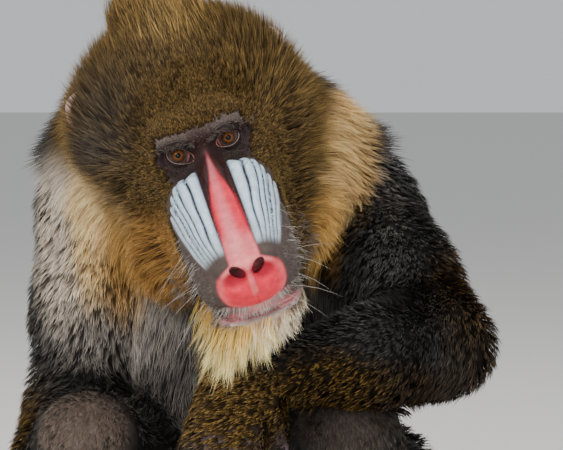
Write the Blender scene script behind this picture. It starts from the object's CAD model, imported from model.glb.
"""Looks of a seated adult male mandrill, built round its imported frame.

One skin is drawn over the same rounded masses as the solids, at the coat's
roots.  The coat is mesh tufts that grow from it along the coat's lie, out to
the coat's tips.  Metres, +Z up, +X the animal's left, the animal faces -Y.
"""

import logging
import math
from dataclasses import dataclass
from enum import Enum
from typing import Callable, Optional, Sequence

import bmesh
import bpy
import numpy as np
from mathutils import Matrix, Vector
from mathutils.bvhtree import BVHTree


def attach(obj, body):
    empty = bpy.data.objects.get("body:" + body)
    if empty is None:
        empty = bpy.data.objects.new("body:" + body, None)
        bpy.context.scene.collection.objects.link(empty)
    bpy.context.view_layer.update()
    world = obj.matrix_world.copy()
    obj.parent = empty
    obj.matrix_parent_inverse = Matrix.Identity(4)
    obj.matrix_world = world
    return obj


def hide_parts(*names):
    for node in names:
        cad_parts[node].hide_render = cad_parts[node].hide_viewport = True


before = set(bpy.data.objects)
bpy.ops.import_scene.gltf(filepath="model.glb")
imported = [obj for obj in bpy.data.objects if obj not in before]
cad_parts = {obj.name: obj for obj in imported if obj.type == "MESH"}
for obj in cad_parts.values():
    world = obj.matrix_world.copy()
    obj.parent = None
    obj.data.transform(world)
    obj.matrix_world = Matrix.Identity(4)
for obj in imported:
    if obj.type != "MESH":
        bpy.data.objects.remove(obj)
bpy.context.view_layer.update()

logging.basicConfig(level=logging.INFO, format="%(name)s: %(message)s")
log = logging.getLogger("mandrill")

Array = np.ndarray
Triple = tuple[float, float, float]

SEED = 5
ROOT_SHARE = 0.35

HEAD_AT = np.array((-0.0258, -0.245, 0.5208))
HEAD_TURNS = (("X", -6.0), ("Y", -20.0), ("Z", 3.0), ("X", 29.0))
EYE_RADIUS = 0.0106
MUZZLE_SLOPE = math.radians(23.0)
MUZZLE_LEAN = 0.028
MOUTH_LINE = ((0.0, 0.121, -0.1090), (0.014, 0.119, -0.1095), (0.028, 0.111, -0.1125),
              (0.041, 0.098, -0.1130), (0.052, 0.082, -0.1080))
RIDGES_A_SIDE = 6

JOINTS: dict[str, Triple] = {
    "hip_left": (0.082, 0.020, 0.105),
    "hip_right": (-0.075, 0.020, 0.105),
    "knee_left": (0.100, -0.180, 0.250),
    "knee_right": (-0.136, -0.150, 0.234),
    "ankle_left": (0.118, -0.195, 0.048),
    "ankle_right": (-0.124, -0.185, 0.048),
    "shoulder_left": (0.116, -0.025, 0.430),
    "shoulder_right": (-0.126, -0.015, 0.440),
    "elbow_left": (0.190, -0.175, 0.334),
    "elbow_right": (-0.152, -0.048, 0.262),
    "wrist_left": (0.004, -0.262, 0.316),
    "wrist_right": (-0.213, -0.108, 0.060),
    "neck_base": (-0.005, -0.005, 0.462),
    "neck_top": (-0.040, -0.130, 0.542),
}
FINGER_SPREAD = (-1.5, -0.5, 0.5, 1.5)


# ---- the body's form ----


@dataclass(frozen=True)
class Mass:
    """A rounded mass of flesh: a tapered length, or an ellipsoid where end is None."""

    start: Triple
    end: Optional[Triple] = None
    radii: tuple = (0.03, 0.03)
    coat: float = 0.0
    blend: float = 0.03


def joint(name: str, shift: Triple = (0.0, 0.0, 0.0)) -> Triple:
    """A joint's place, shifted by a small offset."""
    return tuple(a + b for a, b in zip(JOINTS[name], shift))


def between(first: str, second: str, share: float, shift: Triple = (0.0, 0.0, 0.0)) -> Triple:
    """A point part of the way from one joint to another."""
    a, b = np.array(JOINTS[first]), np.array(JOINTS[second])
    return tuple(a + (b - a) * share + np.array(shift))


TRUNK = (
    Mass((0.0, 0.035, 0.098), None, (0.094, 0.086, 0.090), 0.014),
    Mass((0.0, 0.025, 0.205), None, (0.102, 0.096, 0.110), 0.024, 0.05),
    Mass((0.0, 0.012, 0.340), None, (0.112, 0.098, 0.125), 0.032, 0.05),
    Mass((-0.006, 0.005, 0.442), None, (0.114, 0.068, 0.060), 0.038, 0.05),
    Mass(JOINTS["neck_base"], JOINTS["neck_top"], (0.074, 0.056), 0.042, 0.05),
    Mass((-0.080, -0.040, 0.505), None, (0.054, 0.055, 0.048), 0.046, 0.05),
    Mass((0.050, -0.050, 0.485), None, (0.042, 0.050, 0.050), 0.044, 0.05),
    Mass((0.042, 0.045, 0.017), None, (0.030, 0.036, 0.021), 0.0, 0.012),
    Mass((-0.042, 0.045, 0.017), None, (0.030, 0.036, 0.021), 0.0, 0.012),
    Mass((0.0, 0.012, 0.030), None, (0.052, 0.045, 0.036), 0.0, 0.014),
)


def arm(side: str) -> tuple:
    """Masses of one arm, from the shoulder to the wrist."""
    shoulder, elbow, wrist = (name + "_" + side for name in ("shoulder", "elbow", "wrist"))
    return (
        Mass(joint(shoulder), None, (0.046, 0.048, 0.050), 0.020),
        Mass(joint(shoulder), between(shoulder, elbow, 0.55), (0.043, 0.036), 0.018),
        Mass(between(shoulder, elbow, 0.45), joint(elbow), (0.037, 0.028), 0.021),
        Mass(joint(elbow), between(elbow, wrist, 0.35), (0.028, 0.031), 0.016),
        Mass(between(elbow, wrist, 0.35), joint(wrist), (0.031, 0.020), 0.010),
    )


@dataclass(frozen=True)
class Digit:
    """One finger or toe: its last two points and its tip's radius."""

    middle: Triple
    tip: Triple
    radius: float


def hand(wrist: Triple, palm_end: Triple, spread: Triple, reach: Triple, curl: Triple,
         thumb: tuple) -> tuple[tuple, list]:
    """Masses and digits of a hand.

    Args:
        wrist: the wrist's place.
        palm_end: middle of the knuckles.
        spread: step from one knuckle to the next.
        reach: first length of a finger.
        curl: second length of a finger.
        thumb: the thumb's place across and its two lengths.

    Returns:
        The masses, and the digits for the nails.
    """
    wrist, palm_end, spread = np.array(wrist), np.array(palm_end), np.array(spread)
    reach, curl = np.array(reach), np.array(curl)
    masses, digits = [], []
    for place in FINGER_SPREAD:
        knuckle = palm_end + spread * place
        length = 1.0 - 0.07 * abs(place - 0.4)
        middle = knuckle + reach * length + spread * place * 0.12
        tip = middle + curl * length
        root = wrist + spread * place * 0.55
        masses.append(Mass(tuple(root), tuple(knuckle), (0.0135, 0.0115), 0.005, 0.012))
        masses.append(Mass(tuple(knuckle), tuple(middle), (0.0098, 0.0088), 0.0015, 0.003))
        masses.append(Mass(tuple(middle), tuple(tip), (0.0088, 0.0066), 0.0, 0.003))
        digits.append(Digit(tuple(middle), tuple(tip), 0.0066))
    root = wrist * 0.62 + palm_end * 0.38 + spread * thumb[0]
    middle = root + np.array(thumb[1])
    tip = middle + np.array(thumb[2])
    masses.append(Mass(tuple(root), tuple(middle), (0.011, 0.0095), 0.002, 0.008))
    masses.append(Mass(tuple(middle), tuple(tip), (0.0092, 0.0065), 0.0, 0.003))
    digits.append(Digit(tuple(middle), tuple(tip), 0.0065))
    return tuple(masses), digits


def leg(side: str, haunch: Mass) -> tuple:
    """Masses of one leg, from the hip to the ankle, with the haunch beside the rump."""
    hip, knee, ankle = (name + "_" + side for name in ("hip", "knee", "ankle"))
    calf = between(knee, ankle, 0.4, (0.0, 0.012, 0.0))
    return (
        haunch,
        Mass(joint(hip), between(hip, knee, 0.6), (0.070, 0.055), 0.016),
        Mass(between(hip, knee, 0.6), joint(knee), (0.054, 0.039), 0.010),
        Mass(joint(knee), None, (0.040, 0.040, 0.041), 0.003),
        Mass(joint(knee), calf, (0.036, 0.034), 0.010),
        Mass(calf, joint(ankle), (0.034, 0.019), 0.008),
    )


def foot(ankle: Triple, outward: float) -> tuple[tuple, list]:
    """Masses and digits of a foot flat on the floor."""
    ankle = np.array(ankle)
    heel = np.array((ankle[0], ankle[1] + 0.020, 0.022))
    ball = np.array((ankle[0] + outward * 0.012, ankle[1] - 0.098, 0.016))
    masses = [
        Mass(tuple(ankle), tuple(heel), (0.021, 0.023), 0.004, 0.015),
        Mass(tuple(ankle), tuple(ball + (0, 0.03, 0.006)), (0.020, 0.018), 0.004, 0.02),
        Mass(tuple(heel), tuple(ball), (0.022, 0.017), 0.002, 0.015),
    ]
    digits = []
    for place in FINGER_SPREAD:
        root = ball + np.array((place * 0.0135, 0.010, 0.0))
        length = 0.052 - 0.004 * abs(place - 0.3)
        middle = root + np.array((place * 0.002, -length, 0.002))
        tip = middle + np.array((0.0, -0.024, -0.006))
        masses.append(Mass(tuple(root), tuple(middle), (0.0125, 0.0100), 0.002, 0.006))
        masses.append(Mass(tuple(middle), tuple(tip), (0.0100, 0.0080), 0.0, 0.003))
        digits.append(Digit(tuple(middle), tuple(tip), 0.0080))
    root = np.array((ankle[0] - outward * 0.008, ankle[1] - 0.045, 0.015))
    middle = root + np.array((-outward * 0.030, -0.034, 0.0))
    tip = middle + np.array((-outward * 0.008, -0.026, -0.003))
    masses.append(Mass(tuple(root), tuple(middle), (0.0150, 0.0115), 0.002, 0.010))
    masses.append(Mass(tuple(middle), tuple(tip), (0.0115, 0.0085), 0.0, 0.004))
    digits.append(Digit(tuple(middle), tuple(tip), 0.0085))
    return tuple(masses), digits


LEGS = {
    "left": leg("left", Mass((0.126, 0.020, 0.122), None, (0.080, 0.094, 0.098), 0.018, 0.08)),
    "right": leg("right", Mass((-0.102, 0.030, 0.112), None, (0.072, 0.082, 0.090), 0.014, 0.05)),
}
ARMS = {"left": arm("left"), "right": arm("right")}
HANDS = {
    "left": hand(
        JOINTS["wrist_left"], (-0.010, -0.290, 0.254), (0.0145, 0.002, 0.001),
        (0.001, -0.004, -0.046), (0.002, 0.010, -0.036),
        (2.1, (0.010, 0.010, -0.040), (-0.002, 0.006, -0.026)),
    ),
    "right": hand(
        JOINTS["wrist_right"], (-0.228, -0.178, 0.0125), (-0.0165, 0.001, 0.0),
        (-0.002, -0.046, -0.0035), (0.0, -0.034, -0.0026),
        (-1.9, (0.012, -0.030, -0.020), (0.005, -0.024, -0.003)),
    ),
}
FEET = {"left": foot(JOINTS["ankle_left"], 1.0), "right": foot(JOINTS["ankle_right"], -1.0)}
TAIL = (
    Mass((0.002, 0.100, 0.108), (0.003, 0.142, 0.134), (0.020, 0.016), 0.008),
    Mass((0.003, 0.142, 0.134), (0.004, 0.160, 0.172), (0.016, 0.010), 0.010),
)


def blend(first: Array, second: Array, reach: float) -> Array:
    """Smooth minimum of two distances, rounded over reach."""
    share = np.clip(0.5 + 0.5 * (second - first) / reach, 0.0, 1.0)
    return second + (first - second) * share - reach * share * (1.0 - share)


def ramp(value: Array, low: float, high: float) -> Array:
    """Smooth 0 to 1 as value goes from low to high."""
    share = np.clip((value - low) / (high - low), 0.0, 1.0)
    return share * share * (3.0 - 2.0 * share)


def ellipsoid(points: Array, centre: Sequence, radii: Sequence) -> Array:
    """Approximate signed distance to an ellipsoid."""
    offset = points - np.array(centre)
    near = np.linalg.norm(offset / np.array(radii), axis=1)
    steep = np.linalg.norm(offset / np.square(radii), axis=1)
    return near * (near - 1.0) / np.maximum(steep, 1e-9)


def tapered(points: Array, start: Sequence, end: Sequence, radii: Sequence) -> Array:
    """Signed distance to a round length that tapers from one radius to another."""
    start = np.array(start)
    axis = np.array(end) - start
    share = np.clip((points - start) @ axis / (axis @ axis), 0.0, 1.0)
    radius = radii[0] + (radii[1] - radii[0]) * share
    return np.linalg.norm(points - start - share[:, None] * axis, axis=1) - radius


def mass_distance(points: Array, masses: Sequence[Mass], share: float) -> Array:
    """Distance to a chain of masses, its coat counted at the given share of its depth."""
    total = None
    for mass in masses:
        if mass.end is None:
            one = ellipsoid(points, mass.start, mass.radii)
        else:
            one = tapered(points, mass.start, mass.end, mass.radii)
        one = one - mass.coat * share
        total = one if total is None else blend(total, one, mass.blend)
    return total


def head_matrix() -> Matrix:
    """Matrix from the head's own axes (x lateral, y back, z up) to the world."""
    turn = Matrix.Identity(4)
    for axis, angle in HEAD_TURNS:
        turn = turn @ Matrix.Rotation(math.radians(angle), 4, axis)
    return Matrix.Translation(Vector(HEAD_AT)) @ turn


HEAD = head_matrix()
HEAD_AXES = np.array(HEAD.to_3x3())


def in_head(points: Array) -> Array:
    """World points as lateral, forward and up from the point between the eyes."""
    local = (points - HEAD_AT) @ HEAD_AXES * np.array((1.0, -1.0, 1.0))
    local[:, 0] += MUZZLE_LEAN * np.clip(local[:, 1] - 0.010, 0.0, 0.13)
    return local


def from_head(local: Array) -> Array:
    """World places of points given as lateral, forward and up."""
    local = np.array(local, float)
    local[..., 0] -= MUZZLE_LEAN * np.clip(local[..., 1] - 0.010, 0.0, 0.13)
    return HEAD_AT + (local * np.array((1.0, -1.0, 1.0))) @ HEAD_AXES.T


def head_way(x: Array, forward: Array, up: Array) -> Array:
    """World directions from lateral, forward and up parts in the head's axes."""
    return np.stack(np.broadcast_arrays(x, -forward, up), axis=1) @ HEAD_AXES.T


def along_muzzle(local: Array) -> tuple[Array, Array]:
    """Place along the muzzle's top line from the eyes, and height above that line."""
    ahead = local[:, 1] - 0.008
    above = local[:, 2] - 0.002
    slope, rise = math.cos(MUZZLE_SLOPE), math.sin(MUZZLE_SLOPE)
    return ahead * slope - above * rise, ahead * rise + above * slope


@dataclass(frozen=True)
class RidgePlace:
    """Where head points lie on the ridged swellings beside the nose."""

    across: Array
    on: Array
    crest: Array

    @classmethod
    def of(cls, local: Array) -> "RidgePlace":
        """Places of head points: share across, how far on the swelling, and height of the ridge."""
        along, above = along_muzzle(local)
        side = np.abs(local[:, 0])
        reach = np.clip(along / 0.115, 0.0, 1.1)
        inner = 0.0120 + 0.0016 * reach
        outer = 0.0500 - 0.0200 * reach ** 2
        drop = np.clip(-above - 0.006, 0.0, 0.05)
        across = (side - inner + 0.55 * drop) / (1.06 * (outer - inner + 0.020 - 0.010 * reach))
        wander = 0.10 * np.sin(70.0 * along + 2.0 * np.sign(local[:, 0])) + 0.06 * np.sin(150.0 * along + 9.0 * across)
        wave = np.clip(across, 0.0, 1.0) ** 1.25 * RIDGES_A_SIDE + wander * ramp(across, 0.05, 0.3)
        crest = np.abs(np.sin(np.pi * wave)) ** 0.55
        begin = 0.009 + 0.026 * np.clip(across, 0.0, 1.2) ** 1.4 + 0.005 * (1.0 - crest)
        begin = begin + 0.013 * (1.0 - ramp(across, 0.0, 0.17)) ** 2
        on = ramp(along - begin, 0.0, 0.0028) * (1.0 - ramp(along + 0.006 * across, 0.108, 0.120))
        on = on * ramp(across, -0.02, 0.05) * (1.0 - ramp(across, 0.97, 1.03))
        return cls(across, on, crest)


def muzzle_distance(local: Array, fine: bool) -> Array:
    """Distance to the long boxy muzzle with its ridged swellings beside the nose."""
    along, above = along_muzzle(local)
    side = np.abs(local[:, 0])
    reach = np.clip(along / 0.115, 0.0, 1.2)
    low, high = (0.006, 0.030) if fine else (0.020, 0.044)
    hollow = (1.0 - ramp(along, low, high)) * ramp(side, 0.005, 0.015)
    top = -0.001 - 0.004 * reach - 0.011 * hollow
    bottom = -0.1195 + 0.4244 * np.clip(along, -0.02, 0.15)
    middle, half = 0.5 * (top + bottom), 0.5 * (top - bottom)
    width_top = 0.046 - 0.017 * reach
    width_low = 0.052 - 0.006 * reach
    width = width_top + (width_low - width_top) * ramp(top - above, 0.0, 0.045)
    front = np.maximum(along - 0.108, 0.0) / 0.034
    back = np.maximum(0.022 - along, 0.0) / 0.030
    shape = (side / width) ** 3.2 + (np.abs(above - middle) / half) ** 3.2 + front ** 2.4 + back ** 2.4
    distance = (shape ** (1.0 / 3.0) - 1.0) * np.minimum(width, half)
    inner = 0.009 + 0.006 * reach
    outer = 0.049 - 0.018 * reach
    across = np.clip((side - inner) / (outer - inner), 0.0, 1.0)
    lobe = np.sin(np.pi * across) ** 0.6
    length = ramp(along, 0.008 if fine else 0.025, 0.040) * (1.0 - ramp(along, 0.098, 0.124))
    upper = ramp(above, -0.040, -0.012)
    raised = (0.0065 - 0.0030 * reach) * lobe * length * upper
    if fine:
        place = RidgePlace.of(local)
        raised = raised + place.on * (0.0030 - 0.0012 * reach) * (place.crest - 0.55)
    return distance - raised


def coat_on_head(local: Array) -> Array:
    """Depth of the coat over the head: bare face, deep crown, cheeks and nape."""
    side, forward, up = np.abs(local[:, 0]), local[:, 1], local[:, 2]
    edge = 0.012 + 0.050 * ramp(-up, 0.070, 0.105) - 0.016 * ramp(up, 0.0, 0.030)
    depth = 0.046 * ramp(edge - forward, 0.0, 0.075)
    return depth * (1.0 - 0.35 * ramp(up, 0.02, 0.06)) * (1.0 + 0.30 * ramp(side, 0.030, 0.060))


def mouth_distance(local: Array) -> Array:
    """Distance to the line between the lips."""
    folded = local * np.array((1.0, 1.0, 1.0))
    folded[:, 0] = np.abs(folded[:, 0])
    best = np.full(len(local), 1.0)
    for start, end in zip(MOUTH_LINE, MOUTH_LINE[1:]):
        best = np.minimum(best, tapered(folded, start, end, (0.0, 0.0)))
    return best


@dataclass(frozen=True)
class Tress:
    """A form of hair alone, which grows from its start at the skin to its end at the tips."""

    start: Triple
    end: Triple
    radii: tuple


CREST = Tress((-0.068, -0.178, 0.590), (-0.098, -0.150, 0.690), (0.054, 0.024))
BEARD = (
    Tress((0.010, -0.272, 0.386), (-0.020, -0.314, 0.328), (0.026, 0.013)),
    Tress((0.042, -0.278, 0.390), (0.044, -0.318, 0.348), (0.024, 0.012)),
)


def tress_distance(points: Array, share: float) -> Array:
    """Distance to the crest and the beard, grown by a share of their length."""
    total = None
    grown = 0.35 + 0.65 * share
    for tress in (CREST, *BEARD):
        start = np.array(tress.start)
        end = start + (np.array(tress.end) - start) * max(share, 0.05)
        one = tapered(points, start, end, (tress.radii[0] * grown, tress.radii[1] * grown))
        total = one if total is None else blend(total, one, 0.012)
    return total


def head_distance(points: Array, share: float, fine: bool = False) -> Array:
    """Distance to the head with its bare face, brow, muzzle, nose and jaw."""
    local = in_head(points)
    folded = local.copy()
    folded[:, 0] = np.abs(folded[:, 0])
    skull = ellipsoid(folded, (0.0, -0.072, 0.004), (0.057, 0.072, 0.055))
    skull = blend(skull, tapered(folded, (0.0, -0.001, 0.020), (0.032, -0.004, 0.018), (0.0095, 0.0085)), 0.022)
    skull = blend(skull, ellipsoid(folded, (0.040, -0.024, -0.024), (0.024, 0.036, 0.026)), 0.020)
    jaw = tapered(folded, (0.030, -0.020, -0.088), (0.018, 0.082, -0.114), (0.026, 0.019))
    face = blend(muzzle_distance(local, fine), jaw, 0.012)
    face = blend(face, ellipsoid(folded, (0.0, 0.096, -0.117), (0.034, 0.025, 0.018)), 0.010)
    total = blend(skull, face, 0.018)
    nose = ellipsoid(folded, (0.0, 0.106, -0.0765), (0.0305, 0.025, 0.028))
    nose = blend(nose, ellipsoid(folded, (0.011, 0.116, -0.061), (0.015, 0.015, 0.013)), 0.008)
    total = blend(total, nose, 0.006)
    socket = ellipsoid(folded, (0.0245, 0.013, -0.001), (0.019, 0.018, 0.0125))
    total = -blend(-total, socket, 0.006)
    if fine:
        room = ellipsoid(folded, (0.0240, 0.010, 0.001), (0.0165, 0.024, 0.0125))
        total = -blend(-total, room, 0.004)
    if fine:
        total = carve_face(total, local, folded)
    return blend(total - coat_on_head(local) * share, tress_distance(points, share), 0.014)


NOSTRIL_TILT = math.radians(42.0)
NOSTRIL_RISE = math.radians(29.7)
NOSTRIL_AT = (0.0096, 0.128, -0.0590)


def nostril_distance(folded: Array) -> Array:
    """Distance to the slanting pits of the nostrils, which run back and down into the nose."""
    rel = folded - np.array(NOSTRIL_AT)
    over = rel[:, 2] * math.cos(NOSTRIL_RISE) - rel[:, 1] * math.sin(NOSTRIL_RISE)
    into = rel[:, 1] * math.cos(NOSTRIL_RISE) + rel[:, 2] * math.sin(NOSTRIL_RISE)
    along = rel[:, 0] * math.cos(NOSTRIL_TILT) + over * math.sin(NOSTRIL_TILT)
    beside = over * math.cos(NOSTRIL_TILT) - rel[:, 0] * math.sin(NOSTRIL_TILT)
    return ellipsoid(np.stack((along, into, beside), axis=1), (0.0, 0.0, 0.0), (0.0068, 0.0150, 0.0035))


def carve_face(total: Array, local: Array, folded: Array) -> Array:
    """Add nostrils, lips, bridge and nose folds to the face.

    Args:
        total: distance to the plain head.
        local: head points, lateral, forward and up.
        folded: the same points with their side made positive.

    Returns:
        The distance with the folds.
    """
    side, up = folded[:, 0], local[:, 2]
    hollow = ellipsoid(folded, (0.0145, 0.1345, -0.0660), (0.0110, 0.0090, 0.0092))
    total = -blend(-total, hollow, 0.004)
    total = -blend(-total, nostril_distance(folded), 0.0016)
    front = ramp(local[:, 1], 0.100, 0.114)
    rim = np.abs(ellipsoid(folded, (0.0125, 0.125, -0.0625), (0.0145, 0.022, 0.0125)))
    total = total - 0.0014 * (1.0 - ramp(rim, 0.0, 0.0040)) * front * ramp(up, -0.066, -0.056)
    column = (1.0 - ramp(side, 0.0004, 0.0042)) * ramp(-up, 0.050, 0.058) * (1.0 - ramp(-up, 0.076, 0.086))
    total = total - 0.0016 * column * front
    total = total + 0.0008 * (1.0 - ramp(side, 0.0, 0.0016)) * ramp(-up, 0.080, 0.088) * front
    lips = mouth_distance(local)
    total = total + 0.0016 * (1.0 - ramp(lips, 0.0004, 0.0022))
    total = total - 0.0018 * (1.0 - ramp(np.abs(lips - 0.0040), 0.0, 0.0034)) * ramp(local[:, 1], 0.06, 0.085)
    along, above = along_muzzle(local)
    crease = np.abs(np.abs(local[:, 0]) - (0.0098 + 0.0052 * along / 0.115))
    total = total + 0.0014 * (1.0 - ramp(crease, 0.0004, 0.0032)) * ramp(above, -0.02, -0.008) * ramp(
        along, 0.006, 0.02) * (1.0 - ramp(along, 0.085, 0.105))
    return total


def axial_distance(points: Array, share: float, fine: bool = False) -> Array:
    """Distance to the head and trunk together."""
    return blend(mass_distance(points, TRUNK, share), head_distance(points, share, fine), 0.035)


class Chain(Enum):
    """The parts of the body that have a skin of their own before they're joined."""

    AXIAL = "axial"
    ARM_LEFT = "arm_left"
    ARM_RIGHT = "arm_right"
    LEG_LEFT = "leg_left"
    LEG_RIGHT = "leg_right"
    TAIL = "tail"

    @property
    def masses(self) -> tuple:
        """The masses that the chain is laid from."""
        side = self.value.split("_")[-1]
        if self in (Chain.ARM_LEFT, Chain.ARM_RIGHT):
            return ARMS[side] + HANDS[side][0]
        if self in (Chain.LEG_LEFT, Chain.LEG_RIGHT):
            return LEGS[side] + FEET[side][0]
        return TAIL if self is Chain.TAIL else TRUNK

    def distance(self, points: Array, share: float, fine: bool = False) -> Array:
        """Distance to the chain with its coat at a share of its depth."""
        if self is Chain.AXIAL:
            return axial_distance(points, share, fine)
        return mass_distance(points, self.masses, share)


def body_distance(points: Array, share: float, but: Optional[Chain] = None) -> Array:
    """Distance to the whole body, or to all of it but one chain."""
    return np.min([chain.distance(points, share) for chain in Chain if chain is not but], axis=0)


def filled_distance(points: Array, share: float) -> Array:
    """Distance to the whole body with the creases between its chains filled, as fur fills them."""
    total = None
    for chain in Chain:
        one = chain.distance(points, share)
        total = one if total is None else blend(total, one, 0.045)
    return total


def outward(distance: Callable[[Array], Array], points: Array, step: float = 0.0005) -> Array:
    """Unit outward direction of a distance function."""
    shifts = np.concatenate((np.eye(3), -np.eye(3))) * step
    values = distance((points[None] + shifts[:, None]).reshape(-1, 3)).reshape(6, -1)
    slope = (values[:3] - values[3:]).T
    return slope / np.maximum(np.linalg.norm(slope, axis=1, keepdims=True), 1e-12)


def ease(points: Array, distance: Callable[[Array], Array], rounds: int = 3) -> Array:
    """Move points onto the zero of a distance function."""
    for _ in range(rounds):
        gap = np.clip(distance(points), -0.006, 0.006)
        points = points - gap[:, None] * outward(distance, points)
    return points


def unit(rows: Array) -> Array:
    """Rows scaled to length one."""
    return rows / np.maximum(np.linalg.norm(rows, axis=1, keepdims=True), 1e-9)


# ---- meshes ----


def new_object(name: str, mesh: bpy.types.Mesh) -> bpy.types.Object:
    """Object in the scene from a mesh."""
    item = bpy.data.objects.new(name, mesh)
    bpy.context.scene.collection.objects.link(item)
    return item


def read_points(mesh: bpy.types.Mesh) -> Array:
    """Places of a mesh's vertices."""
    flat = np.empty(len(mesh.vertices) * 3, np.float32)
    mesh.vertices.foreach_get("co", flat)
    return flat.reshape(-1, 3).astype(float)


def write_points(mesh: bpy.types.Mesh, points: Array) -> None:
    """Set the places of a mesh's vertices."""
    mesh.vertices.foreach_set("co", points.astype(np.float32).ravel())
    mesh.update()


def write_colours(mesh: bpy.types.Mesh, name: str, colours: Array) -> None:
    """Store one colour for each vertex as a named attribute."""
    layer = mesh.attributes.get(name) or mesh.attributes.new(name, "FLOAT_COLOR", "POINT")
    full = np.ones((len(colours), 4), np.float32)
    full[:, :colours.shape[1]] = colours
    layer.data.foreach_set("color", full.ravel())


def smooth(mesh: bpy.types.Mesh) -> None:
    """Shade all of a mesh smooth."""
    mesh.polygons.foreach_set("use_smooth", np.ones(len(mesh.polygons), bool))


def add_mass(bm: bmesh.types.BMesh, mass: Mass, grow: float) -> None:
    """Add one mass to a bmesh: a sphere, or the hull of two spheres."""
    if mass.end is None:
        size = Matrix.Diagonal((*(radius + grow for radius in mass.radii), 1.0))
        place = Matrix.Translation(mass.start) @ size
        bmesh.ops.create_uvsphere(bm, u_segments=24, v_segments=16, radius=1.0, matrix=place)
        return
    known = set(bm.verts)
    for centre, radius in ((mass.start, mass.radii[0]), (mass.end, mass.radii[1])):
        place = Matrix.Translation(centre)
        bmesh.ops.create_uvsphere(bm, u_segments=16, v_segments=10, radius=radius + grow, matrix=place)
    fresh = [v for v in bm.verts if v not in known]
    hull = bmesh.ops.convex_hull(bm, input=fresh)
    inner = [v for v in hull["geom_interior"] if isinstance(v, bmesh.types.BMVert)]
    bmesh.ops.delete(bm, geom=inner, context="VERTS")


def remeshed(mesh: bpy.types.Mesh, voxel: float) -> bpy.types.Mesh:
    """Voxel remesh of a mesh as a new mesh."""
    item = new_object("remesh", mesh)
    change = item.modifiers.new("voxels", "REMESH")
    change.mode = "VOXEL"
    change.voxel_size = voxel
    made = bpy.data.meshes.new_from_object(item.evaluated_get(bpy.context.evaluated_depsgraph_get()))
    bpy.data.objects.remove(item, do_unlink=True)
    return made


HEAD_MASSES = (
    Mass(tuple(from_head((0, -0.045, 0.004))), tuple(from_head((0, -0.095, 0.002))), (0.056, 0.056), 0.035),
    Mass(tuple(from_head((0.018, 0.012, -0.044))), tuple(from_head((0.013, 0.104, -0.080))), (0.032, 0.029)),
    Mass(tuple(from_head((-0.018, 0.012, -0.044))), tuple(from_head((-0.013, 0.104, -0.080))), (0.032, 0.029)),
    Mass(tuple(from_head((0, -0.01, -0.080))), tuple(from_head((0, 0.090, -0.112))), (0.050, 0.024)),
    Mass(tuple(from_head((0.040, -0.030, -0.050))), None, (0.040, 0.044, 0.044)),
    Mass(tuple(from_head((-0.040, -0.030, -0.050))), None, (0.040, 0.044, 0.044)),
)


class SkinMesh:
    """The bare or furred surface of one chain, eased onto its distance function."""

    def __init__(self, chain: Chain, voxel: float) -> None:
        """Lay the chain's masses, remesh them and move the result onto the chain's skin."""
        self.chain = chain
        bm = bmesh.new()
        masses = chain.masses + (HEAD_MASSES if chain is Chain.AXIAL else ())
        for mass in masses:
            add_mass(bm, mass, 0.0)
        mesh = bpy.data.meshes.new(chain.value)
        bm.to_mesh(mesh)
        bm.free()
        for size in (2.0 * voxel, voxel):
            mesh = remeshed(mesh, size)
            write_points(mesh, ease(read_points(mesh), lambda p: chain.distance(p, ROOT_SHARE)))
        self.mesh = mesh

    def refine(self, area: Callable[[Array], Array]) -> None:
        """Halve the faces inside an area and ease them onto the fine form."""
        bm = bmesh.new()
        bm.from_mesh(self.mesh)
        inside = area(np.array([v.co for v in bm.verts]))
        edges = [e for e in bm.edges if inside[e.verts[0].index] or inside[e.verts[1].index]]
        bmesh.ops.subdivide_edges(bm, edges=edges, cuts=1, use_grid_fill=True, smooth=0.0)
        bmesh.ops.triangulate(bm, faces=[f for f in bm.faces if len(f.verts) > 4])
        bm.to_mesh(self.mesh)
        bm.free()
        points = read_points(self.mesh)
        near = area(points)
        points[near] = ease(points[near], lambda p: self.chain.distance(p, ROOT_SHARE, True))
        write_points(self.mesh, points)

    def press_to_floor(self) -> None:
        """Flatten what would pass the floor."""
        points = read_points(self.mesh)
        points[:, 2] = np.maximum(points[:, 2], 0.0004)
        write_points(self.mesh, points)


# ---- colours ----


@dataclass(frozen=True)
class Tone:
    """Colours of a hair from its root to its tip, and the share of hairs with a bright band."""

    root: Triple
    body: Triple
    band: Triple
    tip: Triple
    ticks: float = 0.5


OLIVE = Tone((0.010, 0.006, 0.003), (0.044, 0.025, 0.008), (0.42, 0.255, 0.076), (0.080, 0.050, 0.017), 0.58)
OLIVE_DARK = Tone((0.006, 0.004, 0.002), (0.018, 0.010, 0.004), (0.13, 0.075, 0.022), (0.020, 0.012, 0.005), 0.40)
BUFF = Tone((0.06, 0.040, 0.018), (0.24, 0.155, 0.068), (0.62, 0.42, 0.20), (0.26, 0.17, 0.08), 0.55)
WHITE = Tone((0.20, 0.17, 0.14), (0.66, 0.56, 0.45), (0.92, 0.83, 0.70), (0.84, 0.73, 0.60), 0.5)
YELLOW = Tone((0.30, 0.19, 0.08), (0.84, 0.58, 0.27), (0.98, 0.78, 0.46), (0.98, 0.76, 0.42), 0.5)
GOLD = Tone((0.12, 0.060, 0.014), (0.48, 0.26, 0.065), (0.86, 0.53, 0.17), (0.55, 0.31, 0.085), 0.6)
ORANGE = Tone((0.05, 0.025, 0.007), (0.22, 0.105, 0.024), (0.62, 0.34, 0.095), (0.24, 0.12, 0.03), 0.6)
CREAM_GOLD = Tone((0.14, 0.080, 0.028), (0.62, 0.39, 0.15), (0.96, 0.70, 0.34), (0.90, 0.62, 0.29), 0.5)
CHARCOAL = Tone((0.010, 0.010, 0.010), (0.027, 0.0255, 0.024), (0.115, 0.110, 0.104), (0.046, 0.044, 0.041), 0.28)
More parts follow.
